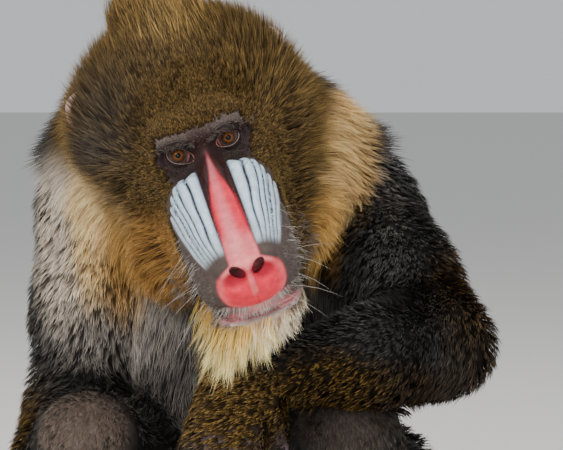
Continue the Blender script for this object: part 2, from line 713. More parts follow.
SILVER = Tone((0.03, 0.027, 0.024), (0.17, 0.150, 0.130), (0.56, 0.51, 0.45), (0.36, 0.32, 0.28), 0.5)
CHEST = Tone((0.014, 0.013, 0.012), (0.050, 0.045, 0.040), (0.30, 0.27, 0.24), (0.12, 0.105, 0.09), 0.42)
SMOKE = Tone((0.012, 0.0115, 0.011), (0.052, 0.049, 0.046), (0.22, 0.21, 0.20), (0.100, 0.095, 0.090), 0.35)
DARK_GREY = Tone((0.014, 0.012, 0.010), (0.055, 0.046, 0.038), (0.20, 0.17, 0.145), (0.12, 0.10, 0.082), 0.4)
BROWN = Tone((0.008, 0.005, 0.002), (0.028, 0.016, 0.006), (0.24, 0.130, 0.032), (0.046, 0.026, 0.009), 0.42)
FOREARM = Tone((0.008, 0.005, 0.002), (0.026, 0.014, 0.004), (0.46, 0.270, 0.056), (0.050, 0.028, 0.008), 0.42)
HAND_GOLD = Tone((0.014, 0.009, 0.004), (0.052, 0.030, 0.009), (0.60, 0.36, 0.100), (0.12, 0.07, 0.022), 0.5)
BEARD_YELLOW = Tone((0.60, 0.38, 0.10), (0.96, 0.66, 0.18), (1.0, 0.80, 0.36), (0.96, 0.76, 0.42), 0.5)
BEARD_CREAM = Tone((0.36, 0.25, 0.15), (0.82, 0.62, 0.38), (1.0, 0.88, 0.66), (0.92, 0.80, 0.62), 0.5)
BROW_GREY = Tone((0.05, 0.037, 0.031), (0.150, 0.115, 0.100), (0.38, 0.31, 0.28), (0.23, 0.180, 0.158), 0.40)
MUZZLE_GREY = Tone((0.05, 0.040, 0.035), (0.13, 0.104, 0.090), (0.44, 0.38, 0.33), (0.22, 0.18, 0.155), 0.30)
ORBIT_HAIR = Tone((0.020, 0.015, 0.012), (0.045, 0.034, 0.028), (0.16, 0.12, 0.085), (0.060, 0.045, 0.035), 0.25)
LID_HAIR = Tone((0.008, 0.006, 0.005), (0.012, 0.009, 0.007), (0.040, 0.030, 0.026), (0.014, 0.010, 0.008), 0.2)
KNEE_HAIR = Tone((0.08, 0.060, 0.048), (0.17, 0.125, 0.098), (0.42, 0.34, 0.27), (0.26, 0.20, 0.155), 0.5)
THIGH_HAIR = Tone((0.03, 0.024, 0.020), (0.070, 0.054, 0.046), (0.22, 0.18, 0.155), (0.10, 0.08, 0.070), 0.3)
FRINGE = Tone((0.02, 0.012, 0.005), (0.12, 0.062, 0.018), (0.40, 0.22, 0.07), (0.26, 0.14, 0.045), 0.5)
RUMP_GREY = Tone((0.02, 0.018, 0.018), (0.11, 0.10, 0.10), (0.32, 0.30, 0.28), (0.20, 0.18, 0.17), 0.45)


@dataclass(frozen=True)
class Blotch:
    """A soft-edged area of the coat with its own tone."""

    centre: Triple
    radii: Triple
    tone: Tone
    strength: float = 1.0

    def weight(self, points: Array) -> Array:
        """How much the tone shows at points."""
        near = np.linalg.norm((points - np.array(self.centre)) / np.array(self.radii), axis=1)
        return self.strength * (1.0 - ramp(near, 0.55, 1.15))


BASE_TONES = {
    Chain.AXIAL: CHARCOAL, Chain.ARM_LEFT: CHARCOAL, Chain.ARM_RIGHT: CHARCOAL,
    Chain.LEG_LEFT: DARK_GREY, Chain.LEG_RIGHT: DARK_GREY, Chain.TAIL: RUMP_GREY,
}
BLOTCHES = (
    Blotch((0.0, 0.14, 0.30), (0.17, 0.10, 0.26), DARK_GREY, 0.8),
    Blotch((0.0, 0.14, 0.06), (0.16, 0.09, 0.09), RUMP_GREY),
    Blotch((-0.005, -0.24, 0.490), (0.120, 0.18, 0.115), OLIVE),
    Blotch((-0.110, -0.10, 0.30), (0.085, 0.10, 0.16), CHEST),
    Blotch((-0.060, -0.12, 0.27), (0.10, 0.08, 0.13), CHEST, 0.9),
    Blotch((-0.115, -0.10, 0.345), (0.080, 0.10, 0.055), SILVER),
    Blotch((0.118, -0.10, 0.455), (0.048, 0.10, 0.055), SILVER, 0.75),
    Blotch((0.105, -0.14, 0.385), (0.070, 0.12, 0.075), SMOKE),
    Blotch((-0.215, 0.00, 0.27), (0.026, 0.10, 0.16), FRINGE, 0.6),
    Blotch((-0.045, -0.12, 0.60), (0.15, 0.15, 0.11), OLIVE),
    Blotch((-0.010, -0.20, 0.560), (0.090, 0.10, 0.055), OLIVE),
    Blotch((-0.085, -0.10, 0.670), (0.060, 0.09, 0.050), OLIVE_DARK),
    Blotch((0.045, -0.13, 0.52), (0.055, 0.12, 0.10), OLIVE),
    Blotch((0.055, -0.22, 0.455), (0.052, 0.16, 0.080), OLIVE),
    Blotch((-0.050, -0.18, 0.585), (0.032, 0.05, 0.026), OLIVE_DARK, 0.8),
    Blotch((-0.120, -0.12, 0.53), (0.07, 0.10, 0.06), OLIVE),
    Blotch((-0.085, -0.15, 0.470), (0.070, 0.12, 0.050), OLIVE),
    Blotch((-0.125, -0.15, 0.450), (0.045, 0.10, 0.045), BUFF, 0.8),
    Blotch((-0.162, -0.09, 0.420), (0.042, 0.10, 0.090), WHITE),
    Blotch((-0.134, -0.12, 0.425), (0.026, 0.10, 0.080), YELLOW),
    Blotch((-0.104, -0.15, 0.390), (0.032, 0.10, 0.072), GOLD),
    Blotch((-0.070, -0.20, 0.400), (0.040, 0.10, 0.070), ORANGE),
    Blotch((0.110, -0.10, 0.560), (0.030, 0.09, 0.060), CREAM_GOLD),
    Blotch((0.102, -0.12, 0.495), (0.034, 0.09, 0.065), CREAM_GOLD),
    Blotch((0.082, -0.15, 0.425), (0.020, 0.09, 0.060), GOLD),
    Blotch((0.210, -0.14, 0.345), (0.055, 0.10, 0.095), BROWN),
    Blotch((0.140, -0.24, 0.290), (0.070, 0.07, 0.045), BROWN, 0.7),
    Blotch((0.075, -0.25, 0.300), (0.075, 0.07, 0.050), FOREARM),
    Blotch((-0.005, -0.28, 0.290), (0.060, 0.05, 0.060), HAND_GOLD),
    Blotch((-0.195, -0.07, 0.17), (0.05, 0.07, 0.13), FOREARM),
    Blotch((-0.145, -0.16, 0.205), (0.090, 0.10, 0.060), CHARCOAL, 0.9),
    Blotch((-0.225, -0.15, 0.03), (0.06, 0.08, 0.05), HAND_GOLD, 0.8),
)


def tone_rows(tone: Tone) -> Array:
    """A tone's four colours and its ticks as one row of numbers."""
    return np.array((*tone.root, *tone.body, *tone.band, *tone.tip, tone.ticks))


def coat_tones(points: Array, chain: Chain) -> Array:
    """Tone of the coat at points, as rows of tone numbers."""
    rows = np.tile(tone_rows(BASE_TONES[chain]), (len(points), 1))
    for blotch in BLOTCHES:
        share = blotch.weight(points)[:, None]
        rows = rows * (1.0 - share) + tone_rows(blotch.tone) * share
    return rows


def mix(base: Array, colour: Triple, share: Array) -> Array:
    """Rows of colour moved towards one colour by a share."""
    share = np.clip(share, 0.0, 1.0)[:, None]
    return base * (1.0 - share) + np.array(colour) * share


FACE_DARK = (0.085, 0.060, 0.052)
EYE_SKIN = (0.028, 0.016, 0.015)
BRIDGE_RED = (0.74, 0.030, 0.060)
BRIDGE_TOP = (0.26, 0.016, 0.028)
BRIDGE_PALE = (0.88, 0.30, 0.31)
STRIP_DARK = (0.040, 0.016, 0.015)
RIDGE_BLUE = (0.34, 0.47, 0.60)
RIDGE_PALE = (0.60, 0.74, 0.84)
GROOVE = (0.024, 0.019, 0.018)
NOSE_RED = (0.88, 0.032, 0.065)
NOSE_RIM = (0.94, 0.25, 0.25)
NOSE_DEEP = (0.52, 0.014, 0.038)
NOSTRIL = (0.030, 0.003, 0.005)
RIDGE_GREY = (0.34, 0.37, 0.38)
LIP_PINK = (0.56, 0.25, 0.24)
UPPER_LIP = (0.50, 0.11, 0.13)
LIP_LINE = (0.30, 0.085, 0.090)
CHIN_SKIN = (0.62, 0.46, 0.42)
BROW_SKIN = (0.115, 0.086, 0.075)
HAND_SKIN = (0.115, 0.080, 0.085)
FOOT_SKIN = (0.085, 0.065, 0.063)
KNEE_SKIN = (0.165, 0.120, 0.098)
THIGH_SKIN = (0.066, 0.050, 0.044)
RUMP_BLUE = (0.30, 0.30, 0.55)
RUMP_RED = (0.62, 0.14, 0.16)
SEAT_SKIN = (0.42, 0.25, 0.24)


def face_colours(points: Array, base: Array) -> Array:
    """Colours of the bare face laid over the coat's root colours."""
    local = in_head(points)
    side, forward, up = np.abs(local[:, 0]), local[:, 1], local[:, 2]
    along, above = along_muzzle(local)
    bare = 1.0 - ramp(coat_on_head(local), 0.0, 0.006)
    bare = bare * ramp(forward, -0.03, -0.01)
    colours = mix(base, FACE_DARK, bare)
    brow = ramp(up, 0.006, 0.010) * (1.0 - ramp(up, 0.022, 0.027)) * (1.0 - ramp(side, 0.040, 0.048))
    colours = mix(colours, BROW_SKIN, bare * brow)
    socket = 1.0 - ramp(np.hypot((side - 0.024) / 0.030, (up + 0.001) / 0.018), 0.75, 1.10)
    socket = np.maximum(socket, (1.0 - ramp(side, 0.010, 0.020)) * ramp(up, -0.016, -0.008) * (1.0 - ramp(up, 0.008, 0.014)))
    colours = mix(colours, EYE_SKIN, socket * ramp(forward, -0.03, -0.01))
    place = RidgePlace.of(local)
    pale = ramp(place.crest, 0.45, 0.98)[:, None]
    ridge = np.array(RIDGE_BLUE) * (1.0 - pale) + np.array(RIDGE_PALE) * pale
    dark = (1.0 - ramp(place.crest, 0.36, 0.70))[:, None]
    ridge = ridge * (1.0 - dark) + np.array(GROOVE) * dark
    grey = (0.50 * ramp(place.across, 0.60, 1.0) + 0.40 * ramp(along, 0.085, 0.110))[:, None]
    ridge = ridge * (1.0 - grey) + np.array(RIDGE_GREY) * grey
    share = place.on[:, None]
    colours = colours * (1.0 - share) + ridge * share
    half = 0.0100 + 0.0038 * np.clip(along, 0.0, 0.12) / 0.115
    upper = ramp(above, -0.026, -0.014)
    strip = (1.0 - ramp(side - half * 1.10, 0.0, 0.0020)) * upper * ramp(along, -0.014, 0.0)
    colours = mix(colours, STRIP_DARK, strip * (1.0 - ramp(along, 0.062, 0.100)))
    narrow = half * (0.12 + 0.84 * ramp(along, 0.006, 0.072))
    on_bridge = (1.0 - ramp(side - narrow, -0.0014, 0.0018)) * ramp(along, -0.002, 0.014) * upper
    colours = mix(colours, BRIDGE_TOP, on_bridge)
    colours = mix(colours, BRIDGE_RED, on_bridge * ramp(along, 0.020, 0.048))
    shine = 1.0 - ramp(np.abs(local[:, 0] + 0.0010 + 0.020 * along), 0.0008, 0.0050 + 0.05 * np.clip(along, 0.0, 0.1))
    colours = mix(colours, BRIDGE_PALE, on_bridge * shine * (0.40 + 0.25 * ramp(along, 0.05, 0.09)))
    colours = mix(colours, BRIDGE_PALE, on_bridge * 0.55 * ramp(along, 0.088, 0.112))
    reach = np.hypot(side / 0.0305, (up + 0.0770) / 0.0285)
    disc = (1.0 - ramp(reach, 0.93, 1.05)) * ramp(forward, 0.088, 0.098)
    colours = mix(colours, NOSE_RED, disc)
    colours = mix(colours, NOSE_RIM, disc * (0.40 * ramp(reach, 0.72, 0.95) + 0.75 * ramp(up, -0.064, -0.054)))
    colours = mix(colours, NOSE_RIM, disc * 0.55 * (1.0 - ramp(side, 0.0015, 0.0040)) * ramp(up, -0.088, -0.080))
    hollow = np.hypot((side - 0.0145) / 0.0115, (up + 0.0655) / 0.0092)
    colours = mix(colours, NOSE_DEEP, disc * (1.0 - ramp(hollow, 0.45, 1.05)))
    folded = np.stack((side, forward, up), axis=1)
    pit = nostril_distance(folded)
    colours = mix(colours, NOSE_DEEP, disc * 0.8 * (1.0 - ramp(pit, 0.0010, 0.0050)) * (1.0 - ramp(up, -0.060, -0.054)))
    colours = mix(colours, NOSTRIL, disc * (1.0 - ramp(pit, 0.0002, 0.0016)))
    lips = mouth_distance(local)
    below = ramp(-up - 0.0025 * (side > 0.03), 0.111, 0.117) * ramp(forward, 0.060, 0.080)
    colours = mix(colours, CHIN_SKIN, below * bare)
    upper_lip = (1.0 - ramp(side, 0.022, 0.036)) * ramp(forward, 0.08, 0.10) * ramp(-up, 0.092, 0.099)
    colours = mix(colours, UPPER_LIP, 0.8 * upper_lip * (1.0 - ramp(-up, 0.108, 0.113)) * bare * (1.0 - disc))
    colours = mix(colours, LIP_PINK, (1.0 - ramp(lips, 0.0014, 0.0034)) * bare)
    return mix(colours, LIP_LINE, (1.0 - ramp(lips, 0.0006, 0.0018)) * bare)


def wet(colours: Array, share: Array) -> Array:
    """Colours with the skin's gloss as their fourth number."""
    return np.column_stack((colours, share))


def gloss(points: Array, chain: Chain) -> Array:
    """How wet the skin is: the nose and bridge most, the coat's roots least."""
    if chain is not Chain.AXIAL:
        return np.full(len(points), 0.05)
    local = in_head(points)
    along, above = along_muzzle(local)
    nose = ramp(along, 0.0, 0.02) * (1.0 - ramp(np.abs(local[:, 0]), 0.010, 0.016)) * ramp(above, -0.03, -0.015)
    disc = 1.0 - ramp(np.hypot(local[:, 0] / 0.0305, (local[:, 2] + 0.0770) / 0.0285), 0.9, 1.1)
    lips = 1.0 - ramp(mouth_distance(local), 0.003, 0.007)
    folded = local * np.array((1.0, 1.0, 1.0))
    folded[:, 0] = np.abs(folded[:, 0])
    return ramp(nostril_distance(folded), 0.0006, 0.0020) * np.maximum(np.maximum(0.75 * nose, disc * ramp(local[:, 1], 0.088, 0.1)), np.maximum(lips, 0.22))


def skin_colours(points: Array, chain: Chain) -> Array:
    """Colours of the skin: coat root tones under the fur, bare skin elsewhere."""
    tones = coat_tones(points, chain)
    colours = 0.40 * tones[:, 0:3] + 0.20 * tones[:, 3:6]
    side = chain.value.split("_")[-1]
    if chain is Chain.AXIAL:
        rump = np.linalg.norm((points - np.array((0.0, 0.115, 0.075))) / (0.085, 0.05, 0.06), axis=1)
        colours = mix(colours, RUMP_BLUE, 1.0 - ramp(rump, 0.75, 1.1))
        middle = np.linalg.norm((points - np.array((0.0, 0.12, 0.06))) / (0.030, 0.05, 0.055), axis=1)
        colours = mix(colours, RUMP_RED, 1.0 - ramp(middle, 0.7, 1.1))
        seat = 1.0 - ramp(points[:, 2], 0.018, 0.03)
        colours = mix(colours, SEAT_SKIN, seat)
        return face_colours(points, colours)
    if chain in (Chain.ARM_LEFT, Chain.ARM_RIGHT):
        wrist = np.array(JOINTS["wrist_" + side])
        reach = np.linalg.norm(points - wrist, axis=1)
        beyond = ramp(reach, 0.045, 0.075) * (mass_distance(points, HANDS[side][0], 0.0) < 0.008)
        return mix(colours, HAND_SKIN, beyond)
    if chain in (Chain.LEG_LEFT, Chain.LEG_RIGHT):
        knee = np.array(JOINTS["knee_" + side])
        near = np.linalg.norm(points - knee - np.array((0.0, -0.015, 0.012)), axis=1)
        bare_skin = KNEE_SKIN if chain is Chain.LEG_RIGHT else THIGH_SKIN
        colours = mix(colours, bare_skin, 1.0 - ramp(near, 0.034, 0.050))
        return mix(colours, FOOT_SKIN, 1.0 - ramp(points[:, 2], 0.032, 0.055))
    return colours


# ---- the coat ----


@dataclass(frozen=True)
class Coat:
    """One area of the coat: how its tufts are set and how they lie.

    count is the number of tufts, hairs the hairs in each, length a hair's
    length, width its width at its widest, spread the tuft's radius at its
    root, and tops the least and greatest share of the coat's depth that its
    tips reach.
    """

    name: str
    chains: tuple
    area: Callable[[Array], Array]
    way: Callable[[Array], Array]
    count: int
    hairs: int
    length: float
    width: float
    spread: float = 0.0030
    tops: tuple = (0.35, 1.0)
    pinch: float = 0.55
    stray: float = 0.14
    loose: bool = False
    stations: int = 5
    least: float = 0.0
    short: float = 0.45
    rise: float = 0.95
    tone: Optional[Tone] = None
    fills: bool = False


def orbit_reach(local: Array) -> Array:
    """How far head points are from the eyes, as a share of the bare skin round them."""
    return np.hypot((np.abs(local[:, 0]) - 0.0235) / 0.0185, (local[:, 2] + 0.0020) / 0.0110)


def round_eyes(points: Array) -> Array:
    """Choice of the dark short-haired ring round the eyes."""
    local = in_head(points)
    reach = orbit_reach(local)
    return (reach > 0.92) & (reach < 1.60) & (local[:, 1] > -0.030) & (np.abs(local[:, 0]) > 0.012) & (
        local[:, 2] < 0.004) & (RidgePlace.of(local).on < 0.01)


def bare_face(local: Array) -> Array:
    """Which head points are bare skin: eyes, ridges, bridge, nose, lips and chin."""
    side, forward, up = np.abs(local[:, 0]), local[:, 1], local[:, 2]
    along = along_muzzle(local)[0]
    eyes = (orbit_reach(local) < 1.0) & (forward > -0.024)
    middle = (side < 0.020) & (up < 0.004) & (up > -0.06) & (forward > -0.01)
    place = RidgePlace.of(local)
    on_muzzle = (place.on > 0.01) | (along > 0.092) | (side < 0.024)
    muzzle = (place.across < 1.03) & (along > 0.004) & (forward > 0.0) & (up > -0.100) & on_muzzle
    under = (np.hypot((side - 0.022) / 0.015, (up + 0.012) / 0.010) < 1.0) & (forward > -0.01)
    disc = np.hypot(side / 0.0325, (up + 0.0765) / 0.0300) < 1.0
    lips = mouth_distance(local) < 0.0030
    return eyes | middle | muzzle | under | (disc & (forward > 0.08)) | (lips & (forward > 0.05))


def head_area(test: Callable) -> Callable[[Array], Array]:
    """Choice of furred points by their lateral, forward and up place on the head."""
    def choose(points: Array) -> Array:
        local = in_head(points)
        return test(local[:, 0], local[:, 1], local[:, 2]) & (local[:, 2] > -0.135) & ~bare_face(local)
    return choose


def head_lie(points: Array) -> Array:
    """Lie of the head's coat: up and back over the crown, out and down on the cheeks."""
    local = in_head(points)
    x, up = local[:, 0], local[:, 2]
    high = ramp(up, -0.03, 0.045)
    low = ramp(-up, 0.02, 0.10)
    out = np.tanh(x / 0.035) * (0.90 - 0.95 * high)
    return head_way(out, -0.70 + 0.10 * high, 0.95 * high - 0.20 - 0.55 * low)


def trunk_lie(points: Array) -> Array:
    """Lie of the trunk's coat: out over the shoulders, down the chest and back."""
    high = ramp(points[:, 2], 0.34, 0.46)
    front = ramp(-points[:, 1], 0.0, 0.10)
    x = points[:, 0] + 0.01
    return np.stack((x * (0.5 + 1.1 * high), 0.22 + high * (0.4 - 0.8 * front), -1.0 + 0.05 * high), axis=1)


def axial_lie(points: Array) -> Array:
    """Lie of the head's coat, turning into the trunk's away from the head."""
    away = np.linalg.norm(in_head(points) - np.array((0.0, -0.05, -0.01)), axis=1)
    share = ramp(away, 0.115, 0.185)[:, None]
    return unit(head_lie(points)) * (1.0 - share) + unit(trunk_lie(points)) * share


def chain_lie(names: Sequence[str], lean: Triple) -> Callable[[Array], Array]:
    """Lie along a limb from joint to joint, with a lean added."""
    places = [np.array(JOINTS[name]) for name in names]

    def lie(points: Array) -> Array:
        weights, ways = [], []
        for start, end in zip(places, places[1:]):
            gap = tapered(points, start, end, (0.0, 0.0))
            weights.append(1.0 / (0.001 + gap) ** 3)
            ways.append((end - start) / np.linalg.norm(end - start))
        total = np.sum(weights, axis=0)
        blended = sum(w[:, None] * way for w, way in zip(weights, ways)) / total[:, None]
        first = (weights[0] / total)[:, None]
        return blended * (1.0 - 0.4 * first) + np.array(lean) * (0.25 + 0.75 * first)
    return lie


def crest_lie(points: Array) -> Array:
    """Lie of the crest: up along its length, drawn together towards its peak."""
    start, end = np.array(CREST.start), np.array(CREST.end)
    axis = (end - start) / np.linalg.norm(end - start)
    rel = points - start
    off = rel - (rel @ axis)[:, None] * axis
    return unit(end + 0.03 * axis + 0.40 * off - points)


def beard_lie(points: Array) -> Array:
    """Lie of the beard: down and a little forward, spread to both sides."""
    out = np.clip(9.0 * (points[:, 0] - 0.024), -0.26, 0.38)
    return np.stack((out, -0.32 + 0 * out, -1.0 + 0 * out), axis=1)


def chin_lie(points: Array) -> Array:
    """Lie of the short hair on the muzzle's sides and chin: back, out and down."""
    local = in_head(points)
    return head_way(0.75 * np.sign(local[:, 0]), -0.65 + 0 * local[:, 0], -0.55 + 0 * local[:, 0])


def everywhere(points: Array) -> Array:
    """Choice of all points."""
    return np.ones(len(points), bool)


def trunk_area(test: Callable) -> Callable[[Array], Array]:
    """Choice of points on the trunk, away from the head."""
    def choose(points: Array) -> Array:
        local = in_head(points)
        return (local[:, 2] <= -0.135) | (local[:, 1] < -0.16) if test is None else (
            ((local[:, 2] <= -0.135) | (local[:, 1] < -0.14)) & test(points))
    return choose


ARM_LIES = {
    "left": chain_lie(("shoulder_left", "elbow_left", "wrist_left"), (0.0, 0.05, -0.80)),
    "right": chain_lie(("shoulder_right", "elbow_right", "wrist_right"), (-0.05, 0.05, -0.35)),
}
LEG_LIES = {
    "left": chain_lie(("hip_left", "knee_left", "ankle_left"), (0.15, 0.1, -0.5)),
    "right": chain_lie(("hip_right", "knee_right", "ankle_right"), (-0.15, 0.1, -0.5)),
}


def near_face(sign: float) -> Callable[[Array], Array]:
    """Choice of the short-haired rim round one side's bare face."""
    def choose(points: Array) -> Array:
        local = in_head(points)
        brow = (local[:, 1] > -0.016) & (local[:, 2] < 0.021) & (local[:, 2] > 0.002) & (np.abs(local[:, 0]) < 0.038)
        rim = (coat_on_head(local) < 0.016) & (np.abs(local[:, 1] + 0.008) < 0.052) & (local[:, 2] > -0.105)
        return rim & (sign * local[:, 0] > 0) & ~brow & ~bare_face(local)
    return choose


def above_lids(points: Array) -> Array:
    """Choice of the dark strip between the eyes and the brow."""
    local = in_head(points)
    side, up = np.abs(local[:, 0]), local[:, 2]
    edge = 0.0060 - 0.010 * ramp(side, 0.030, 0.044)
    return (local[:, 1] > -0.03) & (side < 0.044) & (up > edge) & (up < edge + 0.0050)


def forearm_area(side: str, beyond: bool) -> Callable[[Array], Array]:
    """Choice of an arm's points on its forearm, or else on its upper arm."""
    elbow, wrist = np.array(JOINTS["elbow_" + side]), np.array(JOINTS["wrist_" + side])
    way = (wrist - elbow) / np.dot(wrist - elbow, wrist - elbow)

    def choose(points: Array) -> Array:
        share = (points - elbow) @ way
        return share > 0.02 if beyond else share < 0.22
    return choose


def coats() -> list[Coat]:
    """Every area of the coat."""
    axial = (Chain.AXIAL,)
    made = []
    for side, sign in (("left", 1.0), ("right", -1.0)):
        arm_chain = (Chain["ARM_" + side.upper()],)
        leg_chain = (Chain["LEG_" + side.upper()],)
        knee = np.array(JOINTS["knee_" + side]) + np.array((0.0, -0.02, 0.015))
        made += [
            Coat("coat_crown_" + side, axial,
                 head_area(lambda x, f, u, s=sign: (s * x > 0) & (f < 0.030) & (u > -0.012)
                           & ~((f > -0.016) & (u < 0.021) & (s * x < 0.038))),
                 head_lie, 7600, 5, 0.026, 0.00060, 0.0020, (0.80, 1.0), 0.45, 0.09, stations=3, least=0.003,
                 short=0.26, rise=0.9),
            Coat("coat_cheek_" + side, axial,
                 head_area(lambda x, f, u, s=sign: (s * x > 0) & (u <= -0.012)
                           & (f < 0.036 + 0.04 * ramp(-u, 0.085, 0.110))),
                 axial_lie, 7200, 5, 0.030, 0.00060, 0.0020, (0.80, 1.0), 0.40, 0.09, stations=3, least=0.003,
                 short=0.24, rise=0.9, fills=True),
            Coat("coat_face_" + side, axial, near_face(sign), head_lie, 4200, 5, 0.0080, 0.00044, 0.0014,
                 (0.70, 1.1), 0.35, 0.14, stations=3, least=0.0034, short=0.60),
            Coat("coat_mantle_" + side, axial,
                 trunk_area(lambda p, s=sign: (s * (p[:, 0] + 0.008) > 0) & (p[:, 2] > 0.36)),
                 axial_lie, 4700, 5, 0.036, 0.00082, 0.0030, (0.78, 1.0), 0.35, 0.08, stations=3, rise=0.65,
                 fills=True),
            Coat("coat_body_" + side, axial,
                 trunk_area(lambda p, s=sign: (s * p[:, 0] > 0) & (p[:, 2] <= 0.37) & (p[:, 2] > 0.035)
                            & ~((p[:, 1] > 0.085) & (p[:, 2] < 0.115))),
                 trunk_lie, 3900, 5, 0.032, 0.00092, 0.0036, (0.78, 1.0), 0.35, 0.08, stations=3, rise=0.65,
                 fills=True),
            Coat("coat_arm_" + side, arm_chain, forearm_area(side, False),
                 ARM_LIES[side], 4400, 5, 0.022, 0.00074, 0.0027, (0.75, 1.0), 0.35, 0.08, stations=3, rise=0.60,
                 fills=True),
            Coat("coat_forearm_" + side, arm_chain, forearm_area(side, True),
                 ARM_LIES[side], 9600 if side == "left" else 5200, 5, 0.014, 0.00080, 0.0022, (0.75, 1.0), 0.40,
                 0.10, stations=3, least=0.0062, short=0.8, rise=0.7),
            Coat("coat_leg_" + side, leg_chain,
                 lambda p, k=knee: (np.linalg.norm(p - k, axis=1) > 0.032) & (p[:, 2] > 0.035),
                 LEG_LIES[side], 3000, 4, 0.018, 0.0011, 0.0032, (0.70, 1.0), 0.35, 0.10, stations=3, least=0.003,
                 rise=0.7, fills=True),
            Coat("coat_knee_" + side, leg_chain,
                 lambda p, k=knee: np.linalg.norm(p - k, axis=1) < 0.040,
                 LEG_LIES[side], 1500, 4, 0.010, 0.00030, 0.0024, (0.5, 1.0), 0.2, 0.14, stations=3, least=0.0014,
                 short=1.0, tone=KNEE_HAIR if side == "right" else THIGH_HAIR),
            Coat("coat_foot_" + side, leg_chain,
                 lambda p: (p[:, 2] <= 0.075) & (p[:, 2] > 0.014) & (p[:, 1] > -0.285) & (p[:, 1] < -0.12),
                 LEG_LIES[side], 900, 4, 0.012, 0.0008, 0.0020, (0.5, 1.0), 0.4, 0.2, stations=3, least=0.0018),
        ]
    made += [
        Coat("coat_crest", axial, lambda p: (tress_distance(p, ROOT_SHARE) < 0.030) & (p[:, 2] > 0.585),
             crest_lie, 3000, 5, 0.062, 0.0007, 0.0040, (0.7, 1.0), 0.35, 0.06, True, stations=4),
        Coat("coat_brow", axial,
             head_area(lambda x, f, u: (f >= -0.020) & (u > 0.003) & (np.abs(x) < 0.047)
                       & (u < 0.0235 - 0.0150 * ramp(np.abs(x), 0.026, 0.047))),
             head_lie, 4400, 4, 0.0036, 0.00028, 0.0010, (0.5, 1.2), 0.1, 0.08, stations=3, least=0.0011, short=1.0,
             tone=BROW_GREY),
        Coat("coat_lid", axial, above_lids, head_lie, 900, 4, 0.0040, 0.00032, 0.0012, (0.8, 1.2), 0.2, 0.14,
             stations=3, least=0.0024, short=1.0, tone=LID_HAIR),
        Coat("coat_orbit", axial, round_eyes, head_lie, 1500, 4, 0.0048, 0.00030, 0.0014, (0.6, 1.2), 0.1, 0.16,
             stations=3, least=0.0020, short=1.0, tone=ORBIT_HAIR),
        Coat("coat_beard_yellow", axial,
             head_area(lambda x, f, u: (f > 0.040) & (u < -0.1130) & (x < 0.006)),
             beard_lie, 1300, 5, 0.050, 0.00040, 0.0028, (0.5, 1.0), 0.35, 0.13, True, stations=4, tone=BEARD_YELLOW),
        Coat("coat_beard_cream", axial,
             head_area(lambda x, f, u: (f > 0.040) & (u < -0.1130) & (x > -0.012)),
             beard_lie, 1300, 5, 0.044, 0.00040, 0.0028, (0.5, 1.0), 0.35, 0.13, True, stations=4, tone=BEARD_CREAM),
        Coat("coat_muzzle", axial,
             head_area(lambda x, f, u: (f > 0.015) & (u < -0.040) & (np.abs(x) > 0.018) & (np.abs(x) < 0.060)),
             chin_lie, 2600, 4, 0.0075, 0.00028, 0.0018, (0.4, 1.0), 0.2, 0.20, stations=3, least=0.0016, short=0.8,
             tone=MUZZLE_GREY),
        Coat("coat_tail", (Chain.TAIL,), everywhere,
             lambda p: np.tile((0.0, 0.35, 1.0), (len(p), 1)), 600, 4, 0.022, 0.0012, 0.0035, (0.5, 1.0), 0.4, 0.16,
             stations=3),
    ]
    return made


class RootBed:
    """Random places on a skin where tufts root, clear of the other chains."""

    def __init__(self, skin: SkinMesh) -> None:
        """Measure the skin's triangles."""
        mesh = skin.mesh
        mesh.calc_loop_triangles()
        corners = np.empty(len(mesh.loop_triangles) * 3, np.int32)
        mesh.loop_triangles.foreach_get("vertices", corners)
        self.chain = skin.chain
        self.corners = read_points(mesh)[corners.reshape(-1, 3)]
        crossed = np.cross(self.corners[:, 1] - self.corners[:, 0], self.corners[:, 2] - self.corners[:, 0])
        area = np.linalg.norm(crossed, axis=1)
        self.share = np.cumsum(area) / area.sum()

    def sample(self, count: int, area: Callable[[Array], Array], rng: np.random.Generator) -> Array:
        """Places inside an area, evenly spread by surface."""
        kept = np.empty((0, 3))
        for _ in range(12):
            pick = np.searchsorted(self.share, rng.random(max(4 * count, 4000)))
            first, second = rng.random((2, len(pick)))
            over = first + second > 1.0
            first[over], second[over] = 1.0 - first[over], 1.0 - second[over]
            tri = self.corners[pick]
            places = tri[:, 0] + first[:, None] * (tri[:, 1] - tri[:, 0]) + second[:, None] * (tri[:, 2] - tri[:, 0])
            places = places[area(places)]
            places = places[body_distance(places, ROOT_SHARE, self.chain) > 0.001]
            kept = np.concatenate((kept, places))
            if len(kept) >= count:
                break
        return kept[:count]


STATION_SHARES = {3: (0.0, 0.58, 1.0), 5: (0.0, 0.25, 0.52, 0.80, 1.0), 4: (0.0, 0.34, 0.72, 1.0)}
HAIR_WIDTHS = {3: (0.9, 1.0), 5: (0.75, 1.0, 0.92, 0.62), 4: (0.8, 1.0, 0.7)}


